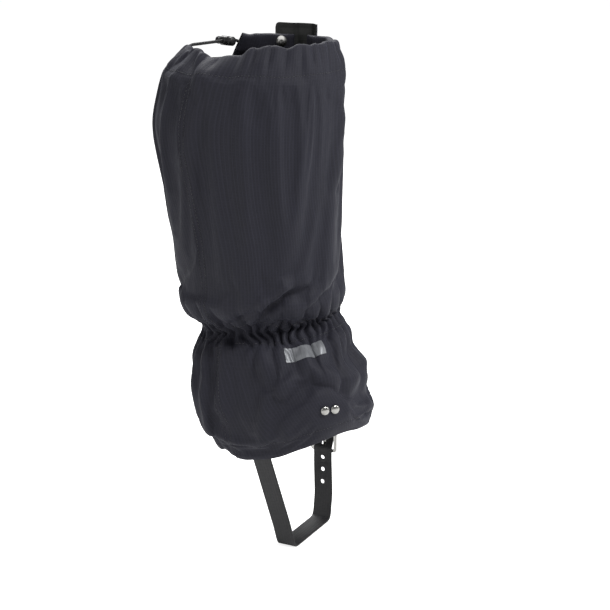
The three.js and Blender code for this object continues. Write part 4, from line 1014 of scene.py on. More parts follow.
def panel_points(start, end, heights, columns, lift=None):
    """A panel on the cloth: rows at (height, inset) pairs, columns between edges that may lean with z."""
    z, inset = np.array(heights, float).T
    u = np.linspace(0, 1, columns)
    first, last = start(z)[:, None], end(z)[:, None]
    theta = first + (last - first) * u
    z = np.broadcast_to(z[:, None], theta.shape)
    inset = np.broadcast_to(inset[:, None], theta.shape)
    if lift is not None:
        inset = inset - lift(z, theta)
    points = cloth_point(z, theta, inset)
    share = (theta - rear_edge(z)) / (front_edge(z) - rear_edge(z))
    run = np.r_[0, np.cumsum(np.hypot(np.diff(z[:, 0]), np.diff(inset[:, 0])))]
    uv = np.stack([share * GIRTH, np.broadcast_to(run[:, None] + z[0, 0], theta.shape)], -1)
    return points, uv


def seam(z):
    return np.full_like(z, SIDE_SEAM)


def lap_start(z):
    return SIDE_SEAM - LAP / measure(ACROSS, z)


def lap_lift(z, theta):
    """The front panels' turned edge rides over the rear ones and comes down to the surface past the seam."""
    past = (theta - SIDE_SEAM) * measure(ACROSS, z)
    return (CLOTH_T + 0.3) * (1 - smoothstep((past - 1) / 8))


def smoothed(grid, reach, axis):
    """The mean over a window of reach points to each side along one axis, the ends repeated."""
    pad = [(0, 0)] * grid.ndim
    pad[axis] = (reach + 1, reach)
    total = np.cumsum(np.pad(grid, pad, mode="edge"), axis=axis)
    count = 2 * reach + 1
    high = np.take(total, np.arange(count, total.shape[axis]), axis)
    low = np.take(total, np.arange(total.shape[axis] - count), axis)
    return (high - low) / count


def settle(frames):
    """Lets the folded cloth settle, and keeps how far each point moved.

    It is pinned at the elastic, rim, hem and closure. Its threads are a little longer than its shape, and it
    has light air pressure.
    """
    columns = 220
    rows = np.concatenate([np.linspace(HEM_Z, WAIST_Z, 56), np.linspace(WAIST_Z, RIM_Z - TUNNEL_H, 100)[1:]])
    z = np.broadcast_to(rows[:, None], (len(rows), columns))
    u = np.linspace(0, 1, columns)
    theta = rear_edge(z) + (front_edge(z) - rear_edge(z)) * u
    start = cloth_point(z, theta)
    cloth = placed("settling", sheet_mesh(start, np.zeros((*z.shape, 2))))
    slack = 1 + 0.12 * np.exp(-(((np.abs(z - WAIST_Z) - 24) / 20) ** 2)) + 0.05
    middle = np.stack([np.full_like(z, 2.0), measure(BACK, z), z], -1)
    longer = middle + (start - middle) * slack[..., None]
    longer[..., 2] = HEM_Z + (start[..., 2] - HEM_Z) * 1.03
    cloth.shape_key_add(name="Basis")
    rest = cloth.shape_key_add(name="Cut size")
    rest.data.foreach_set("co", (longer * MM).astype(np.float32).ravel())
    held = np.maximum(np.exp(-((z - WAIST_Z) / 15) ** 8), np.exp(-(((z - HEM_Z) / 5) ** 2)))
    held = np.maximum(held, smoothstep((z - (RIM_Z - TUNNEL_H - 8)) / 6))
    held = np.maximum(held, 1 - free_of_fittings(z, theta))
    held = np.where(held > 0.9, 1, held * 0.5).ravel()
    group = cloth.vertex_groups.new(name="held")
    for low in np.arange(0, 1.01, 0.1):
        chosen = np.nonzero((held > low - 0.05) & (held <= low + 0.05))[0]
        if low > 0 and len(chosen):
            group.add(chosen.tolist(), float(low), "REPLACE")
    soft = cloth.modifiers.new("Settling", "CLOTH")
    s = soft.settings
    s.quality, s.mass, s.air_damping = 5, 0.15, 2.0
    s.tension_stiffness = s.compression_stiffness = 12
    s.shear_stiffness, s.bending_stiffness = 4, 0.25
    s.tension_damping = s.compression_damping = s.shear_damping = 5
    s.vertex_group_mass = "held"
    s.pin_stiffness = 2.0
    s.rest_shape_key = rest
    s.use_pressure, s.uniform_pressure_force = True, 0.3
    s.effector_weights.gravity = 0.15
    soft.collision_settings.use_collision = False
    scene = bpy.context.scene
    for number in range(1, frames + 1):
        scene.frame_set(number)
    done = cloth.evaluated_get(bpy.context.evaluated_depsgraph_get())
    co = np.zeros(start.size, np.float32)
    done.data.vertices.foreach_get("co", co)
    shift = co.reshape(start.shape) / MM - start
    scene.frame_set(1)
    bpy.data.objects.remove(cloth)
    # the wrinkles are kept, and most of the slow change of shape is taken out again
    shift = shift - 0.8 * smoothed(smoothed(shift, 16, 1), 12, 0)
    size = np.linalg.norm(shift, axis=-1, keepdims=True)
    shift = shift * 5 * np.tanh(size / 5) / np.maximum(size, 1e-9)
    loose = free_of_fittings(z, theta)[..., None] * (1 - np.exp(-((z - WAIST_Z) / 14) ** 6))[..., None]
    print("cloth settled by", float(size.mean()), float(size.max()), "mm")
    SETTLED.update(z=rows, shift=shift * loose)


class GAITER_OT_cloth_tube(bpy.types.Operator):
    """Makes the four cloth panels, gathered at the ankle, with their folds and the lapped side seam"""

    bl_idname = "gaiter.cloth_tube"
    bl_label = "Cloth panels"

    def execute(self, context):
        frames = context.scene.gaiter_cloth.settle_frames
        if frames:
            settle(frames)
        turn_up = [(HEM_Z + 4, 1.6), (HEM_Z + 1.4, 1.6), (HEM_Z + 0.5, 1.35), (HEM_Z + 0.1, 0.8),
                   (HEM_Z + 0.5, 0.25), (HEM_Z + 1.4, 0)]
        low = turn_up + [(z, 0) for z in np.linspace(HEM_Z + 2.6, WAIST_Z, 78)]
        share = np.linspace(0, 1, 132)
        # the rows lie closer at the waist and the rim, where the cloth turns most
        uneven = share - 0.054 * np.sin(TURN * share)
        high = [(WAIST_Z + (RIM_Z - TUNNEL_H - WAIST_Z) * t, 0) for t in uneven]
        panels = (
            ("upper_rear_cloth", "upper_rear_panel", rear_edge, seam, high, 170, None),
            ("upper_front_cloth", "upper_front_panel", lap_start, front_edge, high, 200, lap_lift),
            ("lower_rear_cloth", "lower_rear_panel", rear_edge, seam, low, 170, None),
            ("lower_front_cloth", "lower_front_panel", lap_start, front_edge, low, 200, lap_lift),
        )
        for name, node, start, end, heights, columns, lift in panels:
            points, uv = panel_points(start, end, heights, columns, lift)
            piece = new_piece(name, sheet_mesh(points, uv), CLOTH, node)
            thicken(piece, CLOTH_T, backed=True)
        return {"FINISHED"}


class GAITER_OT_rim_hem(bpy.types.Operator):
    """Makes the rim's two gathered hem tunnels and the bound edge between them"""

    bl_idname = "gaiter.rim_hem"
    bl_label = "Rim hem"

    def execute(self, context):
        # the turned cloth as (below the rim, inwards): up the outside, over the edge and down inside
        loop = np.array([(TUNNEL_H, 0), (TUNNEL_H - 8, 0), (14, 0), (8, 0), (4, 0), (2.2, 0.25), (1.0, 0.9),
                         (0.3, 2.0), (0, TUNNEL_T / 2), (0.3, TUNNEL_T - 2), (1.0, TUNNEL_T - 0.9),
                         (2.4, TUNNEL_T - 0.2), (5, TUNNEL_T), (10, TUNNEL_T), (15, TUNNEL_T - 0.2),
                         (20, TUNNEL_T - 2.6), (25, 2.0)])
        t = np.linspace(0, len(loop) - 1, 60)
        below, inset = (np.interp(t, np.arange(len(loop)), loop[:, k]) for k in (0, 1))
        for name, node, start, end, columns in (
            ("rim_hem_long", "top_hem_long", LONG_TUNNEL_END, float(front_edge(np.array(RIM_Z))), 220),
            ("rim_hem_short", "top_hem_short", float(rear_edge(np.array(RIM_Z))), SHORT_TUNNEL_END, 60),
        ):
            z = np.broadcast_to((RIM_Z - below)[:, None], (len(below), columns))
            lean = smoothstep((RIM_Z - z) / TUNNEL_H)
            edge = np.linspace(0, 1, columns)
            low = rear_edge(z) if node == "top_hem_short" else np.full_like(z, start)
            high = front_edge(z) if node == "top_hem_long" else np.full_like(z, end)
            ends_at = low + (high - low) * edge
            straight = start + (end - start) * edge
            theta = straight + (ends_at - straight) * lean
            # sewn shut at the closure, open where the cord comes out
            shut = edge if node == "top_hem_short" else 1 - edge
            width = abs(end - start) * RADIUS
            depth = 0.35 + 0.65 * smoothstep(shut * width / 9)
            deep = inset[:, None] * depth
            outer = smoothstep(1 - inset / TUNNEL_T)[:, None, None]
            points = cloth_point(z, theta) * outer + cloth_point(z, theta, share=0.35) * (1 - outer)
            points = points - tube_normal(z, theta) * deep[..., None]
            share = (theta - rear_edge(z)) / (front_edge(z) - rear_edge(z))
            run = np.r_[0, np.cumsum(np.hypot(np.diff(below), np.diff(inset)))]
            uv = np.stack([share * GIRTH, np.broadcast_to(RIM_Z - TUNNEL_H + run[:, None], z.shape)], -1)
            piece = new_piece(name, sheet_mesh(points, uv), CLOTH, node)
            thicken(piece, CLOTH_T, backed=True)

        top = RIM_Z - TUNNEL_H
        heights = [(top - 5, -0.55), (top - 1, -0.55), (top + 1.6, -0.5), (top + 2.6, -0.1), (top + 3, 0.5),
                   (top + 2.6, 1.1), (top + 1.6, 1.4), (top - 1, 1.45), (top - 5, 1.45)]
        points, uv = panel_points(lambda z: np.full_like(z, SHORT_TUNNEL_END + 0.01),
                                  lambda z: np.full_like(z, LONG_TUNNEL_END - 0.01), heights, 110)
        piece = new_piece("rim_notch_binding", sheet_mesh(points, uv), "tape", "notch_binding")
        thicken(piece, 0.45)
        return {"FINISHED"}


class GAITER_OT_lining(bpy.types.Operator):
    """Makes the elastic and its casing, the hem band and the patches inside the skirt"""

    bl_idname = "gaiter.lining"
    bl_label = "Lining"

    def execute(self, context):
        def band(name, node, heights, start, end, columns, thickness, material, share=1.0):
            z, inset = np.array(heights, float).T[..., None]
            first, last = start(z), end(z)
            theta = first + (last - first) * np.linspace(0, 1, columns)
            z, inset = np.broadcast_arrays(z, inset, theta)[:2]
            points = cloth_point(z, theta, 0.0, share) - tube_normal(z, theta) * inset[..., None]
            uv = np.stack([theta * RADIUS, z], -1)
            piece = new_piece(name, sheet_mesh(points, uv), material, node)
            return thicken(piece, thickness)

        def rear(z):
            return angle_at(z, ZIP_Y + 17)

        def front(z):
            return TURN + angle_at(z, ZIP_Y - 17)

        half = ELASTIC_H / 2
        band("ankle_elastic_band", "ankle_elastic",
             [(z, 3.6) for z in np.linspace(WAIST_Z - half, WAIST_Z + half, 26)],
             rear, front, 260, 1.3, "elastic", 0.12)
        band("ankle_casing_cloth", "ankle_casing",
             [(z, 5.3) for z in np.linspace(WAIST_Z - 17.5, WAIST_Z + 17.5, 34)], rear, front, 330, 0.5,
             "back", 0.3)
        band("bottom_hem_facing", "bottom_hem_band",
             [(z, 2.5) for z in np.linspace(HEM_Z + 1.2, HEM_Z + 18, 14)], rear, front, 300, 0.8, "tape")
        hook = math.radians(HOOK_DEG)
        spread = math.radians(13)
        band("lace_hook_backing", "lace_hook_patch",
             [(z, 3.0) for z in np.linspace(HOOK_Z - 14, HOOK_Z + 12, 20)],
             lambda z: np.full_like(z, hook - spread), lambda z: np.full_like(z, hook + spread), 40, 0.8,
             "tape")
        return {"FINISHED"}


# the storm flap's mid-line: distance from the panels' plane at each y
FLAP_LINE = np.array([(-22.0, 1.1), (-20.4, 1.3), (-19.2, 2.0), (-15.5, 6.2), (-14.0, 6.9), (-12.0, 7.1),
                      (-2.0, 7.1), (0.2, 6.9), (1.6, 6.2), (3.0, 4.9), (4.4, 4.3), (6.0, 4.2), (24.0, 4.2)])
FLAP_T = 1.3
FLAP_LOW, FLAP_HIGH = HEM_Z + 4, RIM_Z + 10
FLAP_LENGTH = 51.5  # along its mid-line, from the sewn edge to the free edge
STUD_Y, TOP_STUD_Z, BOTTOM_STUD_Z = 11.0, RIM_Z - 6.5, HEM_Z + 13


def flap_point(s, z, out=0.0):
    """The flap at s along its mid-line and height z, and its normal there.

    The line, plus a slow ripple towards the free edge, plus a thicker turned hem, plus out.
    """
    line = np.stack([FLAP_LINE[:, 1], FLAP_LINE[:, 0], np.zeros(len(FLAP_LINE))], -1)
    fine = softened(line, 1.0, 0.25)
    at = run_length(fine)
    s, z = np.broadcast_arrays(np.asarray(s, float), np.asarray(z, float))
    share = s * at[-1]
    x, y = (np.interp(share, at, fine[:, k]) for k in (0, 1))
    sx = np.interp(share + 0.2, at, fine[:, 0]) - np.interp(share - 0.2, at, fine[:, 0])
    sy = np.interp(share + 0.2, at, fine[:, 1]) - np.interp(share - 0.2, at, fine[:, 1])
    normal = unit(np.stack([sy, -sx, np.zeros_like(sx)], -1))
    near_stud = np.minimum(np.abs(z - TOP_STUD_Z), np.abs(z - BOTTOM_STUD_Z))
    free = smoothstep((near_stud - 9) / 16) * smoothstep((share - 6) / 14)
    wave = 0.55 * np.sin(z / 17 + 0.6) + 0.4 * np.sin(z / 7.3 + 1.9) * smoothstep((share - 30) / 16)
    edge = np.minimum(np.minimum(at[-1] - share, z - FLAP_LOW), FLAP_HIGH - z)
    hem = 0.3 * (1 - smoothstep((edge - 7) / 1.2)) - 0.25 * np.exp(-(((edge - 2.2) / 0.6) ** 2))
    offset = free * np.maximum(wave, -0.25) + hem + out
    return np.stack([FACE_X + x, y, z], -1) + normal * offset[..., None], normal


class GAITER_OT_storm_flap(bpy.types.Operator):
    """Makes the storm flap over the zip, its sewn strip and the hook-and-loop tapes"""

    bl_idname = "gaiter.storm_flap"
    bl_label = "Storm flap"

    def execute(self, context):
        columns, rows, corner = 66, 200, 5.0
        s = np.linspace(0, 1, columns)
        from_edge = (1 - s) * FLAP_LENGTH
        cut = np.where(from_edge < corner, corner - np.sqrt(np.maximum(corner**2 - (corner - from_edge) ** 2,
                                                                       0)), 0)
        low, high = FLAP_LOW + cut, FLAP_HIGH - cut
        z = low + (high - low) * np.linspace(0, 1, rows)[:, None]
        points, _ = flap_point(s[None], z, FLAP_T / 2)
        uv = np.stack(np.broadcast_arrays(s * FLAP_LENGTH, z), -1)
        flap = new_piece("storm_flap_cloth", sheet_mesh(points, uv), CLOTH, "storm_flap", body=None)
        thicken(flap, FLAP_T, backed=True)
        applied(flap)
        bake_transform(flap)

        def strip(name, node, y0, y1, x0, x1, z0, z1, look, body="gaiter"):
            line = upright(FACE_X + (x0 + x1) / 2, (y0 + y1) / 2, z0, z1, 130)
            new_piece(name, swept_mesh(line, stadium(y1 - y0, x1 - x0, 5, 14)), look, node, body=body,
                      sharp=50)

        strip("flap_seam_cloth", "flap_seam_strip", -33.0, -23.0, 0.3, 1.7, FLAP_LOW, RIM_Z - 3, "ripstop")
        tape_low, tape_high = BOTTOM_STUD_Z + 8.2, TOP_STUD_Z - 14.2
        strip("loop_tape", "loop_strip", 4.0, 21.0, 0.3, 1.5, tape_low, tape_high, "loops")
        strip("hook_tape", "hook_strip", 5.0, 20.0, 1.8, 3.2, tape_low, tape_high, "hooks", "flap")
        return {"FINISHED"}


# the zip, in the plane of the chain
CHAIN_X = FACE_X - 1.2 - 0.5 - 0.4
TEETH_TOP, TEETH_LOW = RIM_Z - 28 - 2.8, HEM_Z + 11.3
TOOTH_NEAR, SPINE_NEAR, SPINE_FAR = 0.7, 2.0, 3.5


class GAITER_OT_zip(bpy.types.Operator):
    """Makes the zip: its tapes, two rows of moulded teeth, stops, box, pin, slider and puller"""

    bl_idname = "gaiter.zip"
    bl_label = "Zip"

    def execute(self, context):
        pitch, tooth = 3.2, 1.9
        for side, name, first in ((-1, "front", 0.0), (1, "rear", pitch / 2)):
            low = TEETH_LOW + (0.8 if side > 0 else 0)
            heights = np.arange(low + first, TEETH_TOP - tooth, pitch)
            # a tooth seen from the front is waisted behind its head: (reach, half height)
            outline = np.array([(SPINE_FAR - 0.2, 0.75), (SPINE_NEAR - 0.1, 0.62), (SPINE_NEAR - 0.5, 0.6),
                                (TOOTH_NEAR + 0.25, 0.95), (TOOTH_NEAR, 0.6)])
            ring = np.concatenate([outline, outline[::-1] * (1, -1)])
            thick = np.array([-1.3, -0.95, 0.95, 1.3])
            shrink = np.array([0.72, 1, 1, 0.72])
            middle = ring.mean(0)
            flat = middle + (ring - middle) * shrink[:, None, None]
            one = np.stack([np.broadcast_to(thick[:, None], flat.shape[:2]), side * flat[..., 0],
                            flat[..., 1]], -1)
            count, size = len(heights), one.shape[0] * one.shape[1]
            points = one.reshape(1, -1, 3) + np.stack(
                [np.full(count, CHAIN_X), np.full(count, ZIP_Y), heights + tooth / 2], -1)[:, None]
            end = np.arange(len(ring))[None]
            faces = repeated(grid_faces(len(thick), len(ring), True), count, size)
            faces += repeated(end[:, ::-1], count, size) + repeated(size - len(ring) + end, count, size)
            bead = SPINE_FAR - 0.8
            line = upright(CHAIN_X, ZIP_Y + side * bead, low, TEETH_TOP, 60)
            spine = swept_mesh(line, stadium(1.4, 1.3, 6, 3))
            teeth = merged(new_mesh(points, faces))
            work = bmesh.new()
            work.from_mesh(teeth)
            work.from_mesh(spine)
            mesh = bpy.data.meshes.new("teeth")
            work.to_mesh(mesh)
            work.free()
            new_piece(f"moulded_teeth_{name}", shaded_smooth(mesh), "acetal", f"zip_teeth_{name}", sharp=35)
            near, far = SPINE_FAR + 0.1, SPINE_FAR + 9.2
            line = upright(CHAIN_X, ZIP_Y + side * (near + far) / 2, HEM_Z + 1, RIM_Z - 27.5, 120)
            tape = swept_mesh(line, stadium(far - near, 0.8, 4, 12))
            new_piece(f"zip_tape_{name}_woven", tape, "tape", f"zip_tape_{name}", sharp=50)
            rounded_piece(f"top_stop_{name}", f"zip_stop_{name}", "acetal", 0.35)
        rounded_piece("retainer_box", "zip_box", "acetal", 0.35, 2)
        rounded_piece("insertion_pin", "zip_pin", "acetal", 0.25, 2)
        rounded_piece("slider_body", "zip_slider", "nickel", 0.22, 2, "slider")
        rounded_piece("slider_pull", "zip_puller", "nickel", 0.25, 2, "puller")
        return {"FINISHED"}


class GAITER_OT_cord_lock(bpy.types.Operator):
    """Makes the cord lock: a ribbed barrel across the cord, its sprung plunger and the spring"""

    bl_idname = "gaiter.cord_lock"
    bl_label = "Cord lock"

    def execute(self, context):
        low, high, bore = -11.5, 4.0, 3.3
        ribs = [(4.5 - 0.28 * (i % 2), low + 3.2 + i * 0.55) for i in range(9)]
        profile = [(0, low), (2.6, low), (3.5, low + 0.25), (4.1, low + 0.7), (4.45, low + 1.4),
                   (4.5, low + 2.6), *ribs,
                   (4.5, low + 8.6), (4.5, high - 0.8), (4.35, high - 0.3), (4.0, high), (bore + 0.15, high),
                   (bore, high - 0.2), (bore, low + 1.2), (0, low + 1.2)]
        barrel = turned_mesh(profile, LOCK_AT, LOCK_AXIS, 64)
        hole = rod_mesh(on_strand(-8), on_strand(8), 2.1, 40)
        new_piece("lock_barrel", pierced(barrel, [hole]), "acetal", "cord_lock_barrel", body="cord_lock",
                  sharp=40)
        stem_low, stem_r = -3.7, 3.0
        under, top = high + 3.3, high + 3.3 + 2.2
        dish = [(3.6, under), (3.6, top - 0.7), (3.35, top - 0.25), (2.9, top), (2.2, top), (1.4, top - 0.35),
                (0, top - 0.5)]
        profile = [(0, stem_low), (stem_r - 0.2, stem_low), (stem_r, stem_low + 0.2), (stem_r, under), *dish]
        plunger = turned_mesh(profile, LOCK_AT, LOCK_AXIS, 64)
        slots = [rod_mesh(on_strand(-8) + LOCK_AXIS * d, on_strand(8) + LOCK_AXIS * d, 2.1, 40) for d in (0,
                                                                                                          1.5,
                                                                                                          3)]
        new_piece("lock_button", pierced(plunger, slots), "acetal", "cord_lock_plunger", body="lock_button",
                  sharp=40)
        start, length, turns, radius = -9.65, 5.3, 4.0, 2.4
        t = np.linspace(0, 1, 200)
        angle = turns * TURN * t
        up = np.array([0, 0, 1.0])
        line = LOCK_AT + (start + length * t)[:, None] * LOCK_AXIS + radius * (
            np.cos(angle)[:, None] * STRAND + np.sin(angle)[:, None] * up)
        a = np.linspace(0, TURN, 10, endpoint=False)
        wire = np.stack([0.35 * np.cos(a), 0.35 * np.sin(a)], -1)
        spring = new_piece("lock_coil_spring", swept_mesh(line, wire, LOCK_AXIS), "nickel",
                           "cord_lock_spring", body="cord_lock")
        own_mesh(spring)
        return {"FINISHED"}


class GAITER_OT_press_studs(bpy.types.Operator):
    """Makes the storm flap's two press studs: cap and socket on the flap, stud and post on the panel"""

    bl_idname = "gaiter.press_studs"
    bl_label = "Press studs"

    def execute(self, context):
        out = (1, 0, 0)
        flap_face, flap_back, knob_top = 4.9, 3.5, 2.6
        for name, z, through in (("top", TOP_STUD_Z, TUNNEL_T), ("bottom", BOTTOM_STUD_Z, 3.3)):
            at = (FACE_X, STUD_Y, z)
            seat = flap_face + 0.3
            cap = [(0, knob_top + 0.3), (1.6, knob_top + 0.3), (1.6, seat), (5.9, seat), (6.2, seat + 0.25),
                   (6.2, seat + 0.5), (5.9, seat + 0.85), (5.1, seat + 1.25), (4.3, seat + 1.4),
                   (4.0, seat + 1.32),
                   (3.7, seat + 1.45), (2.4, seat + 1.8), (1.2, seat + 1.95), (0, seat + 2)]
            socket = [(2.3, 1.4), (4.4, 1.4), (4.9, 1.7), (5.0, 2.1), (5.0, 2.8), (4.8, 3.1),
                      (4.5, flap_back - 0.3), (2.5, flap_back - 0.3), (2.3, 2.9), (2.3, 1.4)]
            stud = [(0, 0.3), (4.8, 0.3), (5.0, 0.5), (5.0, 0.9), (4.7, 1.1), (2.2, 1.1), (1.75, 1.25),
                    (1.8, 1.6), (2.0, 1.9), (1.95, 2.3), (1.6, knob_top), (0, knob_top)]
            back = through + 0.3
            post = [(0, -back - 0.8), (1.0, -back - 0.8), (1.2, -back - 1.0), (5.1, -back - 1.0),
                    (5.5, -back - 0.75), (5.5, -back - 0.25), (5.3, -back), (1.6, -back), (1.6, 0), (0, 0)]
            for part, node, profile, body in (
                ("cap", "stud_cap", cap, "flap"), ("ring", "stud_socket", socket, "flap"),
                ("knob", "stud_male", stud, "gaiter"), ("rivet", "stud_post", post, "gaiter"),
            ):
                piece = f"{name}_press_{part}"
                new_piece(piece, turned_mesh(profile, at, out, 56), "nickel", f"{name}_{node}", body=body,
                          sharp=40)
        return {"FINISHED"}


class GAITER_OT_lace_hook(bpy.types.Operator):
    """Makes the lace hook with its two domed rivets and the washers behind them"""

    bl_idname = "gaiter.lace_hook"
    bl_label = "Lace hook"

    def execute(self, context):
        z, theta = np.array(HOOK_Z), np.array(math.radians(HOOK_DEG))
        middle, out = tube_point(z, theta), tube_normal(z, theta)
        up = unit(np.array([0, 0, 1.0]) - out[2] * out)
        side = np.cross(up, out)
        plate = 1.2 + 0.5 + 0.9 + 1.0 + 0.5 + 0.9
        washer_at = -plate - 1.2 - 0.3
        for i, name in enumerate(("rear", "front")):
            at = middle + side * (i - 0.5) * 10
            dome = [(0, washer_at - 1), (1.3, washer_at - 1), (1.5, washer_at - 0.8), (1.5, 0.3), (4.0, 0.3),
                    (4.25, 0.5), (4.25, 0.75)]
            a = np.linspace(0.12, 1, 12) * math.pi / 2
            dome += [(4.2 * math.cos(x), 0.8 + 1.75 * math.sin(x)) for x in a[:-1]] + [(0, 2.55)]
            new_piece(f"domed_rivet_{name}", turned_mesh(dome, at, out, 56), "nickel",
                      f"lace_hook_rivet_{name}", sharp=50)
            ring = [(1.8, washer_at - 0.7), (3.2, washer_at - 0.7), (3.4, washer_at - 0.5),
                    (3.4, washer_at - 0.1), (3.25, washer_at), (1.8, washer_at), (1.8, washer_at - 0.7)]
            new_piece(f"rivet_washer_{name}", turned_mesh(ring, at, out, 40), "nickel",
                      f"lace_hook_burr_{name}", sharp=40)
        rounded_piece("lace_hook_plate", "lace_hook", "nickel", 0.3)
        return {"FINISHED"}


STRAP_W, STRAP_T = 20.0, 2.0
STRAP_OUTER_Y, STRAP_SOLE_Y, STRAP_INNER_Y = -22.0, -40.0, -34.0
BUCKLE_Z, TAB_T, TAB_UP = 86.0, 2.6, 38.0
BAR_HALF = 1.2
INNER_STACK = 1.2 + 0.5 + 0.6 + 1.0 + 0.5
BAR_X = FACE_X - INNER_STACK - TAB_T / 2
RING_IN = BAR_HALF * math.sqrt(2) + 0.3
TAB_RING = RING_IN + TAB_T / 2


def strap_line():
    """The strap's mid-line: tucked inside the outer hem, under the arch, up inside and through the buckle."""
    share = (STRAP_OUTER_Y - measure(BACK, HEM_Z)) / measure(ALONG, HEM_Z)
    outer = math.pi - math.asin(signed_power(share, SQUARENESS / 2))
    deep = INNER_STACK + 1.4 + STRAP_T / 2
    tucked = []
    for up in (24, 12, 1):
        z, theta = np.array(HEM_Z + up), np.array(outer)
        p = tube_point(z, theta)
        p = p - tube_normal(z, theta) * deep
        tucked.append((p[0], STRAP_OUTER_Y, p[2]))
    behind = BAR_X - BAR_HALF - 0.4 - STRAP_T / 2
    before = BAR_X + TAB_RING + 1.5 + STRAP_T / 2
    low = STRAP_T / 2
    return [*tucked, (-44, STRAP_SOLE_Y + 2, 24), (-38, STRAP_SOLE_Y, low), (38, STRAP_SOLE_Y, low),
            (44, STRAP_SOLE_Y + 1, 24), (behind, STRAP_INNER_Y, BUCKLE_Z - 30),
            (behind, STRAP_INNER_Y, BUCKLE_Z - 16),
            (before, STRAP_INNER_Y, BUCKLE_Z + 1), (before, STRAP_INNER_Y, BUCKLE_Z + 12)]


class GAITER_OT_strap(bpy.types.Operator):
    """Makes the underfoot strap with its holes, the buckle and the tab that holds it"""

    bl_idname = "gaiter.strap"
    bl_label = "Underfoot strap and buckle"

    def execute(self, context):
        corners = strap_line()
        low = softened(corners[:8], 5.0, 1.2)
        high = softened([low[-1], *corners[8:]], 1.4, 0.6)
        line = np.concatenate([low, high[1:]])
        strap = swept_mesh(line, stadium(STRAP_W, STRAP_T, 8, 16))
        slot = block_mesh((BAR_X - 8, STRAP_INNER_Y - 2.3, BUCKLE_Z - 13),
                          (BAR_X + 12, STRAP_INNER_Y + 2.3, BUCKLE_Z + 1.5))
        holes = [rod_mesh((BAR_X - 20, STRAP_INNER_Y - i * 1.2, BUCKLE_Z - 26 - i * 12),
                          (BAR_X + 10, STRAP_INNER_Y - i * 1.2, BUCKLE_Z - 26 - i * 12),
                          2.2) for i in range(3)]
        new_piece("sole_strap", pierced(strap, [slot, *holes]), "strap", "underfoot_strap", sharp=40)

        anchor = [(p[0] + 2.0, p[1], p[2]) for p in corners[:3]]
        anchor[0] = (anchor[0][0], anchor[0][1], anchor[0][2] + 2)
        anchor[2] = (anchor[2][0], anchor[2][1], anchor[2][2] + 5)
        patch = swept_mesh(softened(anchor, 3.0, 1.0), stadium(STRAP_W + 6, 1.0, 5, 14))
        new_piece("strap_backing", patch, "tape", "strap_anchor_patch", sharp=50)

        # webbing: down behind, round the bar and up in front, two layers sewn together
        layer = 1.25
        reach = RING_IN + layer / 2
        rise = np.linspace(TAB_UP, 5, 24)
        apart = layer / 2 + 0.02
        spread = apart + (reach - apart) * smoothstep((8 - rise) / 6)
        a = np.linspace(math.radians(150), math.radians(390), 40)
        around = np.stack([reach * np.cos(a), np.zeros(40), reach * np.sin(a)], -1)
        down = np.stack([-spread, np.zeros(24), rise], -1)
        back = np.stack([spread, np.zeros(24), rise], -1)[::-1]
        line = softened(np.concatenate([down, around, back]), 0.8, 0.5) + (BAR_X, STRAP_INNER_Y, BUCKLE_Z)
        tab = swept_mesh(line, stadium(STRAP_W, layer, 6, 14))
        room = 2.2
        notch = block_mesh((BAR_X - TAB_RING - 1, STRAP_INNER_Y - room, BUCKLE_Z - TAB_RING - 1),
                           (BAR_X + TAB_RING + 1, STRAP_INNER_Y + room, BUCKLE_Z + TAB_RING + 0.5))
        new_piece("buckle_webbing", pierced(tab, [notch]), "strap", "buckle_tab", sharp=40)
        rounded_piece("buckle_ring", "buckle_frame", "nickel", 0.7, 4)
        rounded_piece("buckle_tongue", "buckle_prong", "nickel", 0.3, 4, "prong")
        return {"FINISHED"}


class GAITER_OT_reflective_strip(bpy.types.Operator):
    """Makes the plain reflective strip bonded to the skirt"""

    bl_idname = "gaiter.reflective_strip"
    bl_label = "Reflective strip"

    def execute(self, context):
        z = np.linspace(WAIST_Z - 26.5, WAIST_Z - 17.5, 16)[:, None]
        theta = np.linspace(math.radians(212), math.radians(246), 90)[None]
        z, theta = np.broadcast_arrays(z, theta)
        points = cloth_point(z, theta, -0.3)
        uv = np.stack([theta * RADIUS, z], -1)
        piece = new_piece("bonded_reflective_strip", sheet_mesh(points, uv), "film", "reflective_strip")
        thicken(piece, 0.25)
        return {"FINISHED"}


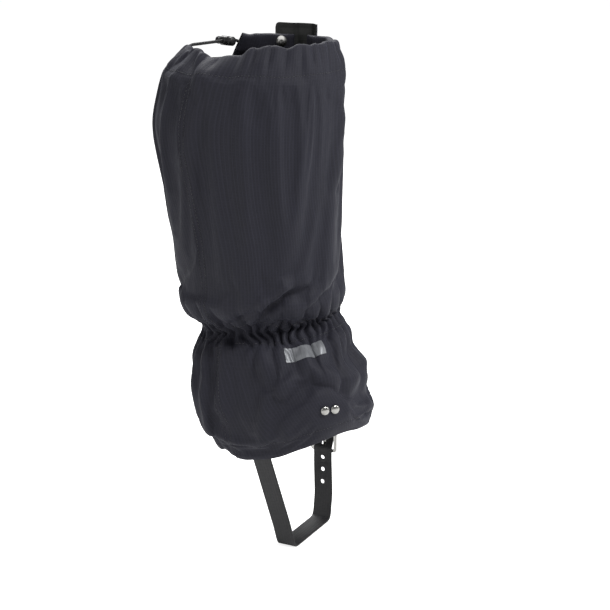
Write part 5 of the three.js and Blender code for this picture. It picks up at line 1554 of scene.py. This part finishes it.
class GAITER_OT_stitching(bpy.types.Operator):
    """Sews the seams: side seam, hem, elastic, rim, flap and strap, as rows of thread"""

    bl_idname = "gaiter.stitching"
    bl_label = "Stitching"

    def execute(self, context):
        def sew(name, rows, body="gaiter", **how):
            return new_piece(name, stitch_mesh(rows, **how), "thread", body=body)

        heights = np.linspace(HEM_Z + 3, RIM_Z - TUNNEL_H - 1, 700)
        side = []
        for across in (-LAP + 1.6, -LAP + 5.6):
            theta = SIDE_SEAM + across / measure(ACROSS, heights)
            points = cloth_point(heights, theta, -lap_lift(heights, theta))
            side.append((points, tube_normal(heights, theta)))
        sew("side_seam_stitching", side)

        def ends(z):
            return float(rear_edge(np.array(z))) + 0.03, float(front_edge(np.array(z))) - 0.03

        hem_z = HEM_Z + HEM_ROW
        sew("hem_stitching", [cloth_row(hem_z, *ends(hem_z))])
        rows = [cloth_row(z, *ends(z), count=2400) for z in (WAIST_Z - ELASTIC_ROW, WAIST_Z + ELASTIC_ROW)]
        sew("elastic_stitching", rows)
        rim_z = RIM_Z - TUNNEL_H + 2
        first, last = ends(rim_z)
        sew("rim_stitching", [cloth_row(rim_z, LONG_TUNNEL_END + 0.02, last, count=1800),
                              cloth_row(rim_z, first, SHORT_TUNNEL_END - 0.02, count=500),
                              cloth_row(RIM_Z - TUNNEL_H - 3.2, SHORT_TUNNEL_END + 0.02,
                                        LONG_TUNNEL_END - 0.02, -0.55, 700)])

        rows = []
        for inset in (2.2, 7.0):
            s_free = 1 - inset / FLAP_LENGTH
            z = np.linspace(FLAP_LOW + inset, FLAP_HIGH - inset, 500)
            rows.append(flap_point(np.full(500, s_free), z, FLAP_T / 2 + 0.05))
            s = np.linspace(0.2, s_free, 80)
            for level in (FLAP_LOW + inset, FLAP_HIGH - inset):
                rows.append(flap_point(s, np.full(80, level), FLAP_T / 2 + 0.05))
        sew("flap_stitching", rows, "flap")
        out = np.tile((1.0, 0, 0), (400, 1))
        sew("flap_seam_stitching", [(upright(FACE_X + 1.72, y, FLAP_LOW + 2, RIM_Z - 5, 400), out)
                                    for y in (-25.0, -31.0)])
        out = np.tile((-1.0, 0, 0), (30, 1))
        face = BAR_X - 1.28
        box = [(upright(face, STRAP_INNER_Y + y, BUCKLE_Z + 9, BUCKLE_Z + 17, 30), out) for y in (-7.5, 7.5)]
        y = np.linspace(STRAP_INNER_Y - 7.5, STRAP_INNER_Y + 7.5, 30)
        box += [(np.stack([np.full(30, face), y, np.full(30, BUCKLE_Z + h)], -1), out) for h in (9, 17)]
        sew("buckle_stitching", box, length=2.0, pitch=2.7)
        return {"FINISHED"}


OPERATORS = (GAITER_OT_stage, GAITER_OT_drawcord, GAITER_OT_cloth_tube, GAITER_OT_rim_hem, GAITER_OT_lining,
             GAITER_OT_storm_flap, GAITER_OT_zip, GAITER_OT_cord_lock, GAITER_OT_press_studs,
             GAITER_OT_lace_hook, GAITER_OT_strap, GAITER_OT_reflective_strip, GAITER_OT_stitching)


class GAITER_PT_panel(bpy.types.Panel):
    """Lists the gaiter's settings and pieces"""

    bl_idname = "GAITER_PT_panel"
    bl_label = "Hiking Gaiter"
    bl_space_type = "VIEW_3D"
    bl_region_type = "UI"
    bl_category = "Gaiter"

    def draw(self, context):
        for group in (context.scene.gaiter_cloth, context.scene.gaiter_trim, context.scene.gaiter_stage):
            box = self.layout.box()
            for name in group.__annotations__:
                box.prop(group, name)
        for operator in OPERATORS:
            self.layout.operator(operator.bl_idname)


GROUPS = {"gaiter_cloth": ClothSettings, "gaiter_trim": TrimSettings, "gaiter_stage": StageSettings}


def register():
    for group in GROUPS.values():
        bpy.utils.register_class(group)
    for name, group in GROUPS.items():
        setattr(bpy.types.Scene, name, PointerProperty(type=group))
    for cls in (*OPERATORS, GAITER_PT_panel):
        bpy.utils.register_class(cls)


def unregister():
    for cls in reversed((*OPERATORS, GAITER_PT_panel)):
        bpy.utils.unregister_class(cls)
    for name in GROUPS:
        delattr(bpy.types.Scene, name)
    for group in reversed(list(GROUPS.values())):
        bpy.utils.unregister_class(group)


def main():
    register()
    for operator in OPERATORS:
        getattr(bpy.ops.gaiter, operator.bl_idname.split(".")[1])()


if __name__ == "__main__":
    main()
